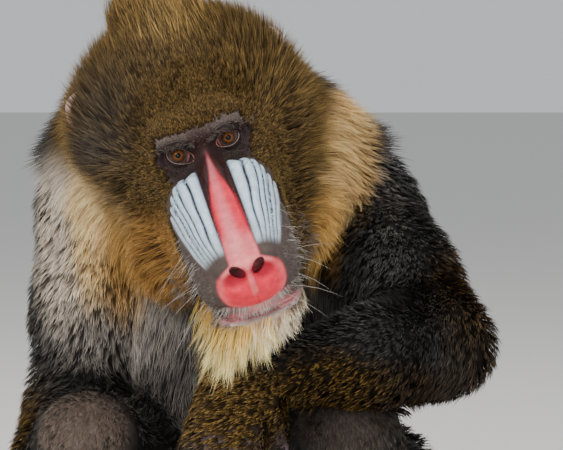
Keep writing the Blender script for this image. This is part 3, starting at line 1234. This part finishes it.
class Grower:
    """Grows one coat's tufts from its roots and makes their mesh."""

    def __init__(self, coat: Coat, roots: Array, chain: Chain, rng: np.random.Generator) -> None:
        """Keep what the tufts grow from."""
        self.coat = coat
        self.roots = roots
        self.chain = chain
        self.rng = rng
        self.shares = STATION_SHARES[coat.stations]

    def depth(self, points: Array) -> Array:
        """Depth of the coat above the skin at points."""
        low = self.chain.distance(points, ROOT_SHARE)
        high = self.chain.distance(points, 1.0)
        return np.maximum(low - high, self.coat.least)

    def guides(self) -> tuple[Array, Array]:
        """Middle line of each tuft and the surface's outward direction along it."""
        coat, rng, count = self.coat, self.rng, len(self.roots)
        def below(p: Array) -> Array:
            return filled_distance(p, ROOT_SHARE) if coat.fills else body_distance(p, ROOT_SHARE)
        depth = self.depth(self.roots)
        tops = depth * rng.uniform(*coat.tops, count)
        lengths = coat.length * rng.uniform(0.75, 1.15, count)
        lengths = lengths * (coat.short + (1.0 - coat.short) * ramp(depth, 0.002, 0.024))
        if coat.loose:
            lengths = coat.length * rng.uniform(0.7, 1.1, count)
            shrink = ramp(self.roots[:, 0], -0.005, 0.050) * (self.roots[:, 2] < 0.5)
            lengths = lengths * (1.0 - 0.60 * shrink)
        stray = rng.normal(0.0, coat.stray, (count, 3))
        at = self.roots - outward(below, self.roots) * 0.001
        centres, normals = [at], []
        normal = outward(below, at)
        normals.append(normal)
        last = 0.0
        for share in self.shares[1:]:
            way = unit(coat.way(at)) + stray * (0.6 + share)
            if not coat.loose:
                way = way - np.sum(way * normal, axis=1, keepdims=True) * normal
            way = unit(way)
            guess = at + way * (lengths * (share - last))[:, None]
            height = tops * share ** coat.rise
            for _ in range(2 if coat.stations > 3 or coat.least > 0.0 else 1):
                normal = outward(below, guess)
                gap = below(guess) - height
                if coat.loose:
                    gap = np.minimum(gap, 0.0)
                guess = guess - gap[:, None] * normal
            guess[:, 2] = np.maximum(guess[:, 2], 0.002)
            at, last = guess, share
            centres.append(at)
            normals.append(normal)
        return np.array(centres), np.array(normals)

    def build(self, number: int) -> bpy.types.Object:
        """Mesh object of all the tufts' hairs."""
        coat, rng = self.coat, self.rng
        centres, normals = self.guides()
        count, hairs = centres.shape[1], coat.hairs
        tones = coat_tones(0.4 * centres[1] + 0.6 * centres[-2], self.chain)
        if coat.tone is not None:
            tones = np.tile(tone_rows(coat.tone), (count, 1))
        total = count * hairs
        owner = np.repeat(np.arange(count), hairs)
        shares = np.array(self.shares)
        ways = np.gradient(centres, axis=0)
        side_rows = [unit(np.cross(ways[i], normals[i])) for i in range(len(shares))]
        turn = rng.uniform(0.0, 2.0 * np.pi, total)
        radius = coat.spread * np.sqrt(rng.random(total))
        reach = rng.uniform(0.72, 1.12, total)
        flare = rng.normal(0.0, 1.0, (2, total))
        roll = rng.uniform(-0.9, 0.9, total)
        tick = np.where(rng.random(total) < 0.55, rng.random(count)[owner], rng.random(total))
        light = np.clip(rng.normal(1.0, 0.14, total) * rng.normal(1.0, 0.16, count)[owner], 0.45, 1.7)
        paths, sides = [], []
        for index, share in enumerate(shares):
            here, side, normal = centres[index][owner], side_rows[index][owner], normals[index][owner]
            along = unit(ways[index])[owner]
            root_here = centres[0][owner]
            keep = 1.0 - coat.pinch * share
            across = radius * np.cos(turn) * keep + flare[0] * coat.spread * 0.40 * share ** 2
            up = (radius * np.sin(turn) * 0.35 + flare[1] * coat.spread * 0.30) * share
            back = radius * np.sin(turn) * (1.0 - share)
            place = root_here + (here - root_here) * (1.0 + (reach - 1.0) * share)[:, None]
            place = place + side * across[:, None] + normal * up[:, None] + along * back[:, None]
            place[:, 2] = np.maximum(place[:, 2], 0.0012)
            paths.append(place)
            tilted = side * np.cos(roll)[:, None] + normal * np.sin(roll)[:, None]
            sides.append(tilted)
        banded = tick < tones[owner, 12]
        root, body, band, tip = (tones[owner, i:i + 3] for i in (0, 3, 6, 9))
        colours = []
        for share in shares:
            tone = root + (body - root) * min(1.0, share * 1.9)
            if share > 0.6:
                light_tip = body + (band - body) * (1.0 if share < 0.95 else 0.80)
                tone = np.where(banded[:, None], light_tip, body + (tip - body) * (share - 0.4) / 0.6)
            colours.append(np.clip(tone * light[:, None], 0.0, 1.0))
        widths = np.outer(HAIR_WIDTHS[coat.stations], coat.width * rng.uniform(0.7, 1.2, total))
        uvs = self.patches(owner)
        mesh = hair_mesh(coat.name, np.array(paths), np.array(sides), widths, np.array(colours), uvs, shares)
        item = new_object(coat.name, mesh)
        log.info("%s: %d tufts, %d hairs, %d triangles", coat.name, count, total, total * (2 * coat.stations - 3))
        return item

    def patches(self, owner: Array) -> Array:
        """Place of each hair's tuft on an unwrap of the skin round the piece's own length."""
        centre = self.roots.mean(axis=0)
        spread = self.roots - centre
        axes = np.linalg.svd(spread[:: max(1, len(spread) // 3000)], full_matrices=False)[2]
        along, first, second = spread @ axes[0], spread @ axes[1], spread @ axes[2]
        turn = np.arctan2(second, first) / (2.0 * np.pi) + 0.5
        low, high = along.min(), along.max()
        uvs = np.stack((0.02 + 0.95 * turn, 0.02 + 0.95 * (along - low) / max(high - low, 1e-6)), axis=1)
        return uvs[owner]


def hair_mesh(name: str, paths: Array, sides: Array, widths: Array, colours: Array, uvs: Array,
              shares: Array) -> bpy.types.Mesh:
    """Flat tapered hairs as one mesh.

    Args:
        name: the mesh's name.
        paths: stations of the hairs, by station, hair and axis.
        sides: the direction across each hair at each station.
        widths: width at each station but the last, by station and hair.
        colours: colour at each station.
        uvs: place of each hair's patch on the skin's unwrap.
        shares: share of the length at each station.

    Returns:
        The mesh, with its colours and its OFBake map.
    """
    stations, total = paths.shape[0], paths.shape[1]
    each = 2 * (stations - 1) + 1
    points = np.empty((total, each, 3))
    tints = np.empty((total, each, 3))
    spots = np.empty((total, each, 2))
    for index in range(stations - 1):
        across = sides[index] * widths[index][:, None] / 2.0
        points[:, 2 * index] = paths[index] - across
        points[:, 2 * index + 1] = paths[index] + across
        tints[:, 2 * index] = tints[:, 2 * index + 1] = colours[index]
        spots[:, 2 * index] = (-0.0015, 0.003 * shares[index] - 0.0015)
        spots[:, 2 * index + 1] = (0.0015, 0.003 * shares[index] - 0.0015)
    points[:, -1], tints[:, -1], spots[:, -1] = paths[-1], colours[-1], (0.0, 0.0015)
    spots += uvs[:, None]
    start = np.arange(total)[:, None] * each
    quads = np.array([(2 * i, 2 * i + 1, 2 * i + 3, 2 * i + 2) for i in range(stations - 2)]).ravel()
    tip = np.array((each - 3, each - 2, each - 1))
    loops = np.concatenate((start + quads, start + tip), axis=1).ravel()
    sizes = np.tile(np.array([4] * (stations - 2) + [3]), total)
    mesh = bpy.data.meshes.new(name)
    mesh.vertices.add(total * each)
    mesh.vertices.foreach_set("co", points.astype(np.float32).ravel())
    mesh.loops.add(len(loops))
    mesh.loops.foreach_set("vertex_index", loops.astype(np.int32))
    mesh.polygons.add(len(sizes))
    mesh.polygons.foreach_set("loop_start", (np.cumsum(sizes) - sizes).astype(np.int32))
    mesh.update(calc_edges=True)
    smooth(mesh)
    write_colours(mesh, "Tint", tints.reshape(-1, 3))
    layer = mesh.uv_layers.new(name="OFBake")
    layer.data.foreach_set("uv", spots.reshape(-1, 2)[loops].astype(np.float32).ravel())
    return mesh


# ---- materials ----


@dataclass(frozen=True)
class Finish:
    """How a tinted surface takes the light: dull where its tint's fourth number is 0, glossy where it is 1."""

    name: str
    dull: float
    roughness: float
    specular: float = 0.4
    bump: float = 0.0
    bump_scale: float = 400.0
    mottle: float = 0.12
    mottle_scale: float = 60.0
    coat: float = 0.0
    glow: float = 0.0


SKIN_FINISH = Finish("skin", 0.80, 0.36, 0.24, 0.55, 700.0, 0.16, 150.0, 0.0, 0.06)
HAIR_FINISH = Finish("hair", 0.66, 0.58, 0.16, 0.08, 900.0, 0.14, 60.0)
NAIL_FINISH = Finish("nail", 0.50, 0.30, 0.5, 0.15, 300.0, 0.15, 200.0)
EYE_FINISH = Finish("eye", 0.06, 0.02, 0.22, 0.0, 0.0, 0.06, 900.0, 0.0)


def material(finish: Finish) -> bpy.types.Material:
    """Procedural material that takes its colour from the Tint attribute."""
    made = bpy.data.materials.new(finish.name)
    made.use_nodes = True
    nodes, links = made.node_tree.nodes, made.node_tree.links
    shader = nodes["Principled BSDF"]
    shader.inputs["Specular IOR Level"].default_value = finish.specular
    shader.inputs["Coat Weight"].default_value = finish.coat
    shader.inputs["Coat Roughness"].default_value = 0.03
    if finish.glow:
        shader.inputs["Subsurface Weight"].default_value = finish.glow
        shader.inputs["Subsurface Radius"].default_value = (0.004, 0.0015, 0.001)
        shader.inputs["Subsurface Scale"].default_value = 1.0
    tint = nodes.new("ShaderNodeAttribute")
    tint.attribute_name = "Tint"
    colour = tint.outputs["Color"]
    place = nodes.new("ShaderNodeTexCoord")
    if finish.mottle:
        noise = nodes.new("ShaderNodeTexNoise")
        noise.inputs["Scale"].default_value = finish.mottle_scale
        noise.inputs["Detail"].default_value = 5.0
        links.new(place.outputs["Object"], noise.inputs["Vector"])
        spread = nodes.new("ShaderNodeMapRange")
        spread.inputs["From Min"].default_value = 0.3
        spread.inputs["From Max"].default_value = 0.7
        spread.inputs["To Min"].default_value = 1.0 - finish.mottle
        spread.inputs["To Max"].default_value = 1.0 + finish.mottle
        links.new(noise.outputs["Fac"], spread.inputs["Value"])
        scaled = nodes.new("ShaderNodeVectorMath")
        scaled.operation = "SCALE"
        links.new(colour, scaled.inputs[0])
        links.new(spread.outputs["Result"], scaled.inputs["Scale"])
        colour = scaled.outputs["Vector"]
    links.new(colour, shader.inputs["Base Color"])
    wetness = nodes.new("ShaderNodeMapRange")
    wetness.inputs["To Min"].default_value = finish.dull
    wetness.inputs["To Max"].default_value = finish.roughness
    links.new(tint.outputs["Alpha"], wetness.inputs["Value"])
    links.new(wetness.outputs["Result"], shader.inputs["Roughness"])
    if finish.bump:
        cells = nodes.new("ShaderNodeTexVoronoi")
        cells.inputs["Scale"].default_value = finish.bump_scale
        links.new(place.outputs["Object"], cells.inputs["Vector"])
        fine = nodes.new("ShaderNodeTexNoise")
        fine.inputs["Scale"].default_value = finish.bump_scale * 0.5
        fine.inputs["Detail"].default_value = 6.0
        links.new(place.outputs["Object"], fine.inputs["Vector"])
        both = nodes.new("ShaderNodeMath")
        both.operation = "MULTIPLY"
        links.new(cells.outputs["Distance"], both.inputs[0])
        links.new(fine.outputs["Fac"], both.inputs[1])
        bump = nodes.new("ShaderNodeBump")
        bump.inputs["Strength"].default_value = finish.bump
        bump.inputs["Distance"].default_value = 0.0012
        links.new(both.outputs[0], bump.inputs["Height"])
        links.new(bump.outputs["Normal"], shader.inputs["Normal"])
    return made


# ---- eyes, ears and nails ----


@dataclass(frozen=True)
class Fissure:
    """The opening between an eye's lids, seen from the front: its tilt and its reach each way."""

    tilt: float
    inward: float
    outward: float
    above: float = 0.0060
    below: float = 0.0070


FISSURES = {"left": Fissure(24.0, 0.0112, 0.0096), "right": Fissure(-8.0, 0.0142, 0.0098)}
IRIS_RADIUS = 0.0058
PUPIL_RADIUS = 0.0023
EYE_WHITE = (0.085, 0.050, 0.040)
EYE_PINK = (0.50, 0.20, 0.17)
LIMBUS = (0.030, 0.020, 0.018)
IRIS_OUTER = (0.060, 0.020, 0.006)
IRIS_INNER = (0.15, 0.052, 0.012)
LID_RIM = (0.36, 0.29, 0.26)


class Eye:
    """An eyeball with a bulged clear front over its painted iris, and its lids."""

    def __init__(self, side: str, sign: float) -> None:
        """Set where the eye is, where it looks and the axes of its opening."""
        self.side = side
        self.sign = sign
        self.fissure = FISSURES[side]
        self.centre = from_head((sign * 0.0236, -0.0062, -0.0034))
        self.gaze = unit((np.array(CAMERA_AT) - self.centre)[None])[0]
        level = np.cross((0.0, 0.0, 1.0), self.gaze)
        level = level / np.linalg.norm(level)
        lift = np.cross(self.gaze, level)
        turn = math.radians(self.fissure.tilt)
        self.across = level * math.cos(turn) + lift * math.sin(turn)
        self.up = lift * math.cos(turn) - level * math.sin(turn)

    def ball(self) -> bpy.types.Object:
        """The eyeball, turned to its gaze."""
        bm = bmesh.new()
        bmesh.ops.create_uvsphere(bm, u_segments=72, v_segments=64, radius=1.0)
        local = unit(np.array([v.co for v in bm.verts]))
        off = np.arccos(np.clip(local[:, 2], -1, 1)) * EYE_RADIUS
        dome = EYE_RADIUS + 0.0010 * (1.0 - ramp(off, 0.0, IRIS_RADIUS * 1.15))
        axes = np.stack((self.across, self.up, self.gaze))
        for vert, place in zip(bm.verts, self.centre + (local * dome[:, None]) @ axes):
            vert.co = Vector(place)
        mesh = bpy.data.meshes.new("eye_" + self.side)
        bm.to_mesh(mesh)
        bm.free()
        angle = np.arctan2(local[:, 1], local[:, 0])
        streak = 0.5 + 0.5 * np.sin(angle * 23.0 + 2.0 * np.sin(angle * 7.0))
        inner = (1.0 - ramp(off, PUPIL_RADIUS, IRIS_RADIUS * 0.9))[:, None]
        iris = np.array(IRIS_OUTER) * (1 - inner) + np.array(IRIS_INNER) * inner
        iris = iris * (0.75 + 0.45 * streak[:, None])
        colours = np.tile(np.array(EYE_WHITE), (len(local), 1))
        colours = mix(colours, EYE_PINK, ramp(-self.sign * local[:, 0], 0.74, 0.90))
        colours = mix(colours, LIMBUS, 1.0 - ramp(off, IRIS_RADIUS * 1.05, IRIS_RADIUS * 1.35))
        share = (1.0 - ramp(off, IRIS_RADIUS * 0.86, IRIS_RADIUS * 1.02))[:, None]
        colours = colours * (1 - share) + iris * share
        colours = mix(colours, (0.002, 0.002, 0.002), 1.0 - ramp(off, PUPIL_RADIUS * 0.92, PUPIL_RADIUS * 1.1))
        write_colours(mesh, "Tint", colours)
        smooth(mesh)
        item = new_object("eyeball_" + self.side, mesh)
        log.info("eyeball_%s: iris %.1f mm across", self.side, IRIS_RADIUS * 2000)
        return item

    def outline(self, turns: int) -> tuple[Array, Array, Array]:
        """Turns round the opening, and the almond's places across and up."""
        theta = np.linspace(0, 2 * np.pi, turns, endpoint=False)
        inner_side = np.cos(theta) * self.sign < 0
        half = np.where(inner_side, self.fissure.inward, self.fissure.outward)
        tall = np.where(np.sin(theta) > 0, self.fissure.above, self.fissure.below)
        x = np.cos(theta) * half
        z = np.sign(np.sin(theta)) * np.abs(np.sin(theta)) ** 1.15 * tall
        return theta, x, z - 0.0012 * inner_side * np.abs(np.cos(theta)) ** 3

    def lids(self) -> tuple[Array, Array, Array]:
        """Points, faces and colours of the lids round the eye, down to the face."""
        turns, rings = 128, 26
        theta, point_x, point_z = self.outline(turns)
        middle = -self.sign * (self.fissure.inward - self.fissure.outward) / 2.0
        out_x, out_z = middle + np.cos(theta) * 0.0235, np.sin(theta) * 0.0165
        share = np.repeat(np.arange(rings + 1) / rings, turns)
        grow = share ** 1.3
        x = np.tile(point_x, rings + 1) * (1 - grow) + np.tile(out_x, rings + 1) * grow
        z = np.tile(point_z, rings + 1) * (1 - grow) + np.tile(out_z, rings + 1) * grow
        plane = self.centre + x[:, None] * self.across + z[:, None] * self.up
        face = np.full(len(x), 0.026)
        for _ in range(26):
            gap = head_distance(plane + face[:, None] * self.gaze, ROOT_SHARE, True)
            face = face - np.clip(gap, -0.01, 0.01) * 0.8
        around = np.hypot(x, z)
        radius = EYE_RADIUS + 0.0014
        ball = np.sqrt(np.maximum(radius ** 2 - np.minimum(around, radius * 0.93) ** 2, 0.0))
        ball = ball - np.maximum(around - radius * 0.93, 0.0) * 1.2
        depth = -blend(-ball, -face, 0.005)
        fold = np.sin(share * 44.0 + 0.8 * np.sin(np.arctan2(z, x) * 3.0))
        depth = depth + 0.00032 * fold * ramp(share, 0.12, 0.3) * (1.0 - ramp(share, 0.7, 0.95))
        depth = depth - 0.0012 * (1.0 - ramp(np.abs(share - 0.26), 0.0, 0.07)) * (z > 0)
        edge = np.sqrt(np.maximum((EYE_RADIUS - 0.0003) ** 2 - around ** 2, 1e-7))
        depth = np.where(share < 0.02, np.minimum(edge, depth), depth)
        depth = depth - 0.0007 * ramp(share, 0.93, 1.0)
        points = plane + depth[:, None] * self.gaze
        index = np.arange((rings + 1) * turns).reshape(rings + 1, turns)
        after = np.roll(index, -1, axis=1)
        faces = np.stack((index[:-1], index[1:], after[1:], after[:-1]), axis=2).reshape(-1, 4)
        base = face_colours(points, np.tile(np.array(FACE_DARK), (len(points), 1)))
        colours = mix(base, EYE_SKIN, 1.0 - ramp(share, 0.70, 1.0))
        rim = (1.0 - ramp(share, 0.07, 0.12)) * ramp(share, 0.01, 0.04)
        colours = mix(colours, LID_RIM, rim * np.where(z < 0, 0.95, 0.30))
        corner = np.exp(-((x * -self.sign - self.fissure.inward) / 0.0035) ** 2) * (1.0 - ramp(share, 0.06, 0.16))
        return points, faces, mix(colours, EYE_PINK, corner)


def ear_surface(sign: float) -> tuple[Array, Array, Array]:
    """Points, faces and colours of one ear: a cup with a rolled rim."""
    turns, rings = 56, 16
    theta = np.linspace(0, 2 * np.pi, turns, endpoint=False)
    outline = 1.0 + 0.10 * np.cos(theta - 2.2) - 0.06 * np.cos(2 * theta + 0.6)
    matrix = Matrix.Rotation(math.radians(-30.0 * sign), 4, "Z") @ Matrix.Rotation(math.radians(12.0 * sign), 4, "Y")
    turn = np.array(matrix.to_3x3())
    places, shades = [], []
    for ring in range(rings + 1):
        share = ring / rings
        width, height = 0.0185 * share * outline, 0.0215 * share * outline
        rim = 0.0030 * math.exp(-((share - 0.90) / 0.09) ** 2)
        cup = -0.0075 * (1.0 - share ** 2) + rim - 0.0035 * max(0.0, (share - 0.94) / 0.06)
        fold = 0.0016 * np.exp(-((share - 0.62) / 0.10) ** 2) * (0.5 - 0.5 * np.cos(theta + 0.8))
        front = np.stack((np.cos(theta) * width * sign, -(cup + fold), np.sin(theta) * height), axis=1)
        places.append(front)
        shades.append(np.full(turns, share))
    back = places[-1] * np.array((0.92, 1.0, 0.92)) + np.array((0.0, 0.0045, 0.0))
    places += [back, back * np.array((0.5, 1.0, 0.5)) + np.array((0.0, 0.0035, 0.0))]
    shades += [np.full(turns, 0.85), np.full(turns, 0.5)]
    local = np.concatenate(places) @ turn.T
    centre = np.array((sign * 0.087, 0.106, 0.016))
    points = HEAD_AT + (local + centre) @ HEAD_AXES.T
    count = len(places)
    index = np.arange(count * turns).reshape(count, turns)
    after = np.roll(index, -1, axis=1)
    faces = np.stack((index[:-1], after[:-1], after[1:], index[1:]), axis=2).reshape(-1, 4)
    share = np.concatenate(shades)
    colours = mix(np.tile((0.20, 0.11, 0.095), (len(points), 1)), (0.62, 0.42, 0.37), ramp(share, 0.55, 0.95))
    return points, faces, colours


def surface_object(name: str, parts: Sequence[tuple[Array, Array, Array]]) -> bpy.types.Object:
    """One tinted object from several sets of points, faces and colours."""
    points, faces, colours, start = [], [], [], 0
    for part_points, part_faces, part_colours in parts:
        points.append(part_points)
        faces.append(part_faces + start)
        colours.append(part_colours)
        start += len(part_points)
    mesh = bpy.data.meshes.new(name)
    mesh.from_pydata(np.concatenate(points).tolist(), [], np.concatenate(faces).tolist())
    mesh.update()
    write_colours(mesh, "Tint", np.concatenate(colours))
    smooth(mesh)
    return new_object(name, mesh)


NAIL_COLOUR = (0.12, 0.09, 0.075)


def nail(digit: Digit, up: Array) -> tuple[Array, Array, Array]:
    """Points, faces and colours of one nail on the upper side of a digit's tip."""
    start, tip = np.array(digit.middle), np.array(digit.tip)
    way = (tip - start) / np.linalg.norm(tip - start)
    up = up - (up @ way) * way
    up = up / np.linalg.norm(up)
    side = np.cross(way, up)
    rows, columns = 9, 9
    places = []
    for row in range(rows):
        share = row / (rows - 1)
        for column in range(columns):
            angle = (column / (columns - 1) - 0.5) * 1.9
            width = digit.radius * (0.98 - 0.25 * share ** 3)
            across, lift = math.sin(angle) * width, math.cos(angle) * digit.radius * 1.02
            ahead = -0.0055 + share * (0.0155 - 0.002 * abs(angle))
            places.append(tip + way * ahead + side * across + up * (lift + 0.0006 - 0.0022 * share ** 3))
    top = np.array(places)
    centre = top.mean(axis=0) - up * 0.004
    under = centre + (top - centre) * np.array((0.9, 0.9, 0.9)) - up * 0.0012
    points = np.concatenate((top, under))
    faces = []
    def at(row: int, column: int, layer: int) -> int:
        return layer * rows * columns + row * columns + column
    for row in range(rows - 1):
        for column in range(columns - 1):
            faces.append((at(row, column, 0), at(row, column + 1, 0), at(row + 1, column + 1, 0), at(row + 1, column, 0)))
            faces.append((at(row, column, 1), at(row + 1, column, 1), at(row + 1, column + 1, 1), at(row, column + 1, 1)))
    edge = [(0, c) for c in range(columns)] + [(r, columns - 1) for r in range(1, rows)]
    edge += [(rows - 1, c) for c in range(columns - 2, -1, -1)] + [(r, 0) for r in range(rows - 2, 0, -1)]
    for first, second in zip(edge, edge[1:] + edge[:1]):
        faces.append((at(*first, 0), at(*first, 1), at(*second, 1), at(*second, 0)))
    return points, np.array(faces), np.tile(NAIL_COLOUR, (len(points), 1))


def whiskers(rng: np.random.Generator) -> bpy.types.Object:
    """Long pale whiskers and short white bristles on the lips and muzzle sides."""
    roots, ways, lengths, widths = [], [], [], []
    for _ in range(150):
        sign = rng.choice((-1.0, 1.0))
        forward = rng.uniform(0.045, 0.118)
        up = rng.uniform(-0.108, -0.060) if forward < 0.095 else rng.uniform(-0.104, -0.094)
        roots.append((sign * rng.uniform(0.030, 0.060) * (1.0 if forward < 0.1 else 0.7), forward, up))
        long = rng.random() < 0.10
        ways.append((sign * rng.uniform(0.6, 1.2), rng.uniform(-0.2, 0.5), rng.uniform(-0.7, 0.1)))
        lengths.append(rng.uniform(0.030, 0.055) if long else rng.uniform(0.005, 0.014))
        widths.append(0.00026 if long else 0.00020)
    for _ in range(420):
        x = rng.normal(0.0, 0.024)
        up = rng.uniform(-0.108, -0.101) if rng.random() < 0.45 else rng.uniform(-0.122, -0.111)
        roots.append((x, 0.13, up))
        ways.append((x * 16.0, 0.45, -1.0))
        lengths.append(rng.uniform(0.003, 0.008))
        widths.append(0.00022)
    local = np.array(roots)
    aim = np.array((0.0, 0.02, -0.085))
    for _ in range(30):
        gap = head_distance(from_head(local), ROOT_SHARE)
        step = unit(aim * np.array((1, 1, 1)) + np.stack((0 * local[:, 0], local[:, 1] * 0.6, 0 * local[:, 2]), axis=1) - local)
        local = local + step * np.clip(gap, -0.02, 0.02)[:, None] * 0.8
    start = from_head(local)
    way = unit(head_way(*np.array(ways).T))
    lengths = np.array(lengths)
    shares = np.array(STATION_SHARES[5])
    droop = np.array((0.0, 0.0, -1.0))
    paths = np.array([start + way * (lengths * s)[:, None] + droop * (lengths * 0.25 * s * s)[:, None] for s in shares])
    side = unit(np.cross(way, np.array((0.0, -1.0, 0.2))))
    sides = np.tile(side, (5, 1, 1))
    width = np.outer((1.0, 0.9, 0.75, 0.5), widths)
    colours = np.tile((0.80, 0.74, 0.65), (5, len(start), 1)) * rng.uniform(0.35, 0.9, len(start))[None, :, None]
    uvs = np.stack((0.1 + 0.8 * (local[:, 0] + 0.07) / 0.14, 0.1 + 0.8 * (local[:, 1] / 0.14)), axis=1)
    return new_object("whiskers", hair_mesh("whiskers", paths, sides, width, colours, np.clip(uvs, 0.02, 0.98), shares))


# ---- the scene ----

CAMERA_AT = (0.043, -2.838, 0.7236)
CAMERA_PITCH = 6.0
PHOTO_WIDTH = 563
FOCAL_PIXELS = 2954.0


def add_camera() -> None:
    """Camera at the photo's angle and framing."""
    data = bpy.data.cameras.new("camera")
    data.sensor_width = 36.0
    data.sensor_fit = "HORIZONTAL"
    data.lens = FOCAL_PIXELS / PHOTO_WIDTH * 36.0
    data.clip_end = 50.0
    item = bpy.data.objects.new("camera", data)
    item.location = CAMERA_AT
    item.rotation_euler = (math.radians(90.0 - CAMERA_PITCH), 0.0, 0.0)
    bpy.context.scene.collection.objects.link(item)
    bpy.context.scene.camera = item


def add_light(name: str, place: Triple, target: Triple, size: float, power: float, colour: Triple,
              mirrored: bool = False) -> None:
    """A soft square light aimed at a point, seen in glossy surfaces only when mirrored."""
    data = bpy.data.lights.new(name, "AREA")
    data.energy = power
    data.size = size
    data.color = colour
    item = bpy.data.objects.new(name, data)
    item.visible_glossy = mirrored
    item.location = place
    item.rotation_euler = (Vector(target) - Vector(place)).to_track_quat("-Z", "Y").to_euler()
    bpy.context.scene.collection.objects.link(item)


def add_stage() -> None:
    """Pale floor, soft world light and studio lights."""
    bm = bmesh.new()
    bmesh.ops.create_grid(bm, x_segments=1, y_segments=1, size=8.0)
    mesh = bpy.data.meshes.new("floor")
    bm.to_mesh(mesh)
    bm.free()
    floor = new_object("floor", mesh)
    surface = bpy.data.materials.new("floor")
    surface.use_nodes = True
    surface.node_tree.nodes["Principled BSDF"].inputs["Base Color"].default_value = (0.62, 0.61, 0.59, 1.0)
    surface.node_tree.nodes["Principled BSDF"].inputs["Roughness"].default_value = 0.9
    mesh.materials.append(surface)
    world = bpy.data.worlds.new("studio")
    bpy.context.scene.world = world
    world.use_nodes = True
    sky = world.node_tree.nodes["Background"]
    sky.inputs["Color"].default_value = (0.80, 0.82, 0.85, 1.0)
    sky.inputs["Strength"].default_value = 0.75
    target = (-0.02, -0.1, 0.42)
    add_light("key", (-1.5, -2.2, 2.3), target, 1.3, 66.0, (1.0, 0.97, 0.93), True)
    add_light("front", (-0.12, -2.70, 0.98), (-0.02, -0.24, 0.50), 0.42, 15.0, (1.0, 0.99, 0.97), True)
    add_light("fill", (1.9, -1.8, 1.2), target, 1.8, 24.0, (0.93, 0.96, 1.0))
    add_light("top", (0.1, 0.9, 2.2), target, 1.4, 38.0, (1.0, 0.98, 0.95))


class Mandrill:
    """The whole animal: its skin, coat, eyes, ears, nails and whiskers."""

    def __init__(self) -> None:
        """Make the finishes that the pieces share."""
        self.skin_surface = material(SKIN_FINISH)
        self.hair_surface = material(HAIR_FINISH)
        self.nail_surface = material(NAIL_FINISH)
        self.eye_surface = material(EYE_FINISH)
        self.beds: dict[Chain, RootBed] = {}

    def finish(self, item: bpy.types.Object, surface: bpy.types.Material, slot: str, *nodes: str) -> None:
        """Give a piece its material, body, slot and the nodes that it replaces."""
        item.data.materials.clear()
        item.data.materials.append(surface)
        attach(item, "root")
        if nodes:
            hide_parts(*nodes)

    def build_skin(self) -> None:
        """One skin over all the flesh."""
        voxels = {Chain.AXIAL: 0.0034, Chain.ARM_LEFT: 0.0034, Chain.ARM_RIGHT: 0.0034}
        parts = []
        for chain in Chain:
            skin = SkinMesh(chain, voxels.get(chain, 0.0036))
            if chain is Chain.AXIAL:
                skin.refine(lambda p: (in_head(p)[:, 1] > -0.012) & (np.linalg.norm(in_head(p), axis=1) < 0.19))
                skin.refine(lambda p: (in_head(p)[:, 1] > 0.004) & (np.abs(in_head(p)[:, 0]) < 0.062)
                            & (np.linalg.norm(in_head(p), axis=1) < 0.175))
            skin.press_to_floor()
            self.beds[chain] = RootBed(skin)
            points = read_points(skin.mesh)
            faces = [tuple(f.vertices) for f in skin.mesh.polygons]
            parts.append((points, faces, wet(skin_colours(points, chain), gloss(points, chain))))
            log.info("skin %s: %d faces", chain.value, len(faces))
        for side, sign in (("left", 1.0), ("right", -1.0)):
            points, faces, colours = Eye(side, sign).lids()
            colours = wet(colours, np.full(len(colours), 0.75))
            parts.append((points, [tuple(f) for f in faces.tolist()], colours))
        points, faces, colours, start = [], [], [], 0
        for part_points, part_faces, part_colours in parts:
            points.append(part_points)
            faces += [tuple(v + start for v in face) for face in part_faces]
            colours.append(part_colours)
            start += len(part_points)
        mesh = bpy.data.meshes.new("skin")
        mesh.from_pydata(np.concatenate(points).tolist(), [], faces)
        mesh.update()
        write_colours(mesh, "Tint", np.concatenate(colours))
        smooth(mesh)
        flesh = ["head", "jaw", "nose", "neck", "torso", "pelvis", "tail"]
        for part in ("upper_arm", "forearm", "hand", "thigh", "shank", "foot"):
            flesh += [part + "_left", part + "_right"]
        self.finish(new_object("skin", mesh), self.skin_surface, "skin_hand", *flesh)

    def build_coat(self) -> None:
        """All the coat's tufts."""
        slots = {"crown": "coat_head", "cheek": "coat_head", "crest": "coat_head", "brow": "coat_head",
                 "beard": "coat_beard", "mantle": "coat_mane", "body": "coat_body", "tail": "coat_rump"}
        for number, coat in enumerate(coats()):
            rng = np.random.default_rng((SEED, number))
            chain = coat.chains[0]
            count = coat.count
            roots = self.beds[chain].sample(count, coat.area, rng)
            item = Grower(coat, roots, chain, rng).build(number)
            self.finish(item, self.hair_surface, slots.get(coat.name.split("_")[1], "coat_limb"))

    def build_details(self) -> None:
        """Eyes, ears, nails and whiskers."""
        nails = []
        for side, sign in (("left", 1.0), ("right", -1.0)):
            self.finish(Eye(side, sign).ball(), self.eye_surface, "eye", "eye_" + side)
            ear = surface_object("ear_skin_" + side, [ear_surface(sign)])
            self.finish(ear, self.skin_surface, "skin_ear", "ear_" + side)
            back = np.array((0.0, -1.0, 0.1)) if side == "left" else np.array((0.0, 0.0, 1.0))
            nails += [nail(digit, back) for digit in HANDS[side][1]]
            nails += [nail(digit, np.array((0.0, 0.0, 1.0))) for digit in FEET[side][1]]
        self.finish(surface_object("nails", nails), self.nail_surface, "skin_foot")
        self.finish(whiskers(np.random.default_rng((SEED, 99))), self.hair_surface, "coat_head")


def main() -> None:
    """Dress the frame as the animal in its studio."""
    add_camera()
    add_stage()
    animal = Mandrill()
    animal.build_skin()
    animal.build_coat()
    animal.build_details()


if __name__ == "__main__":
    main()
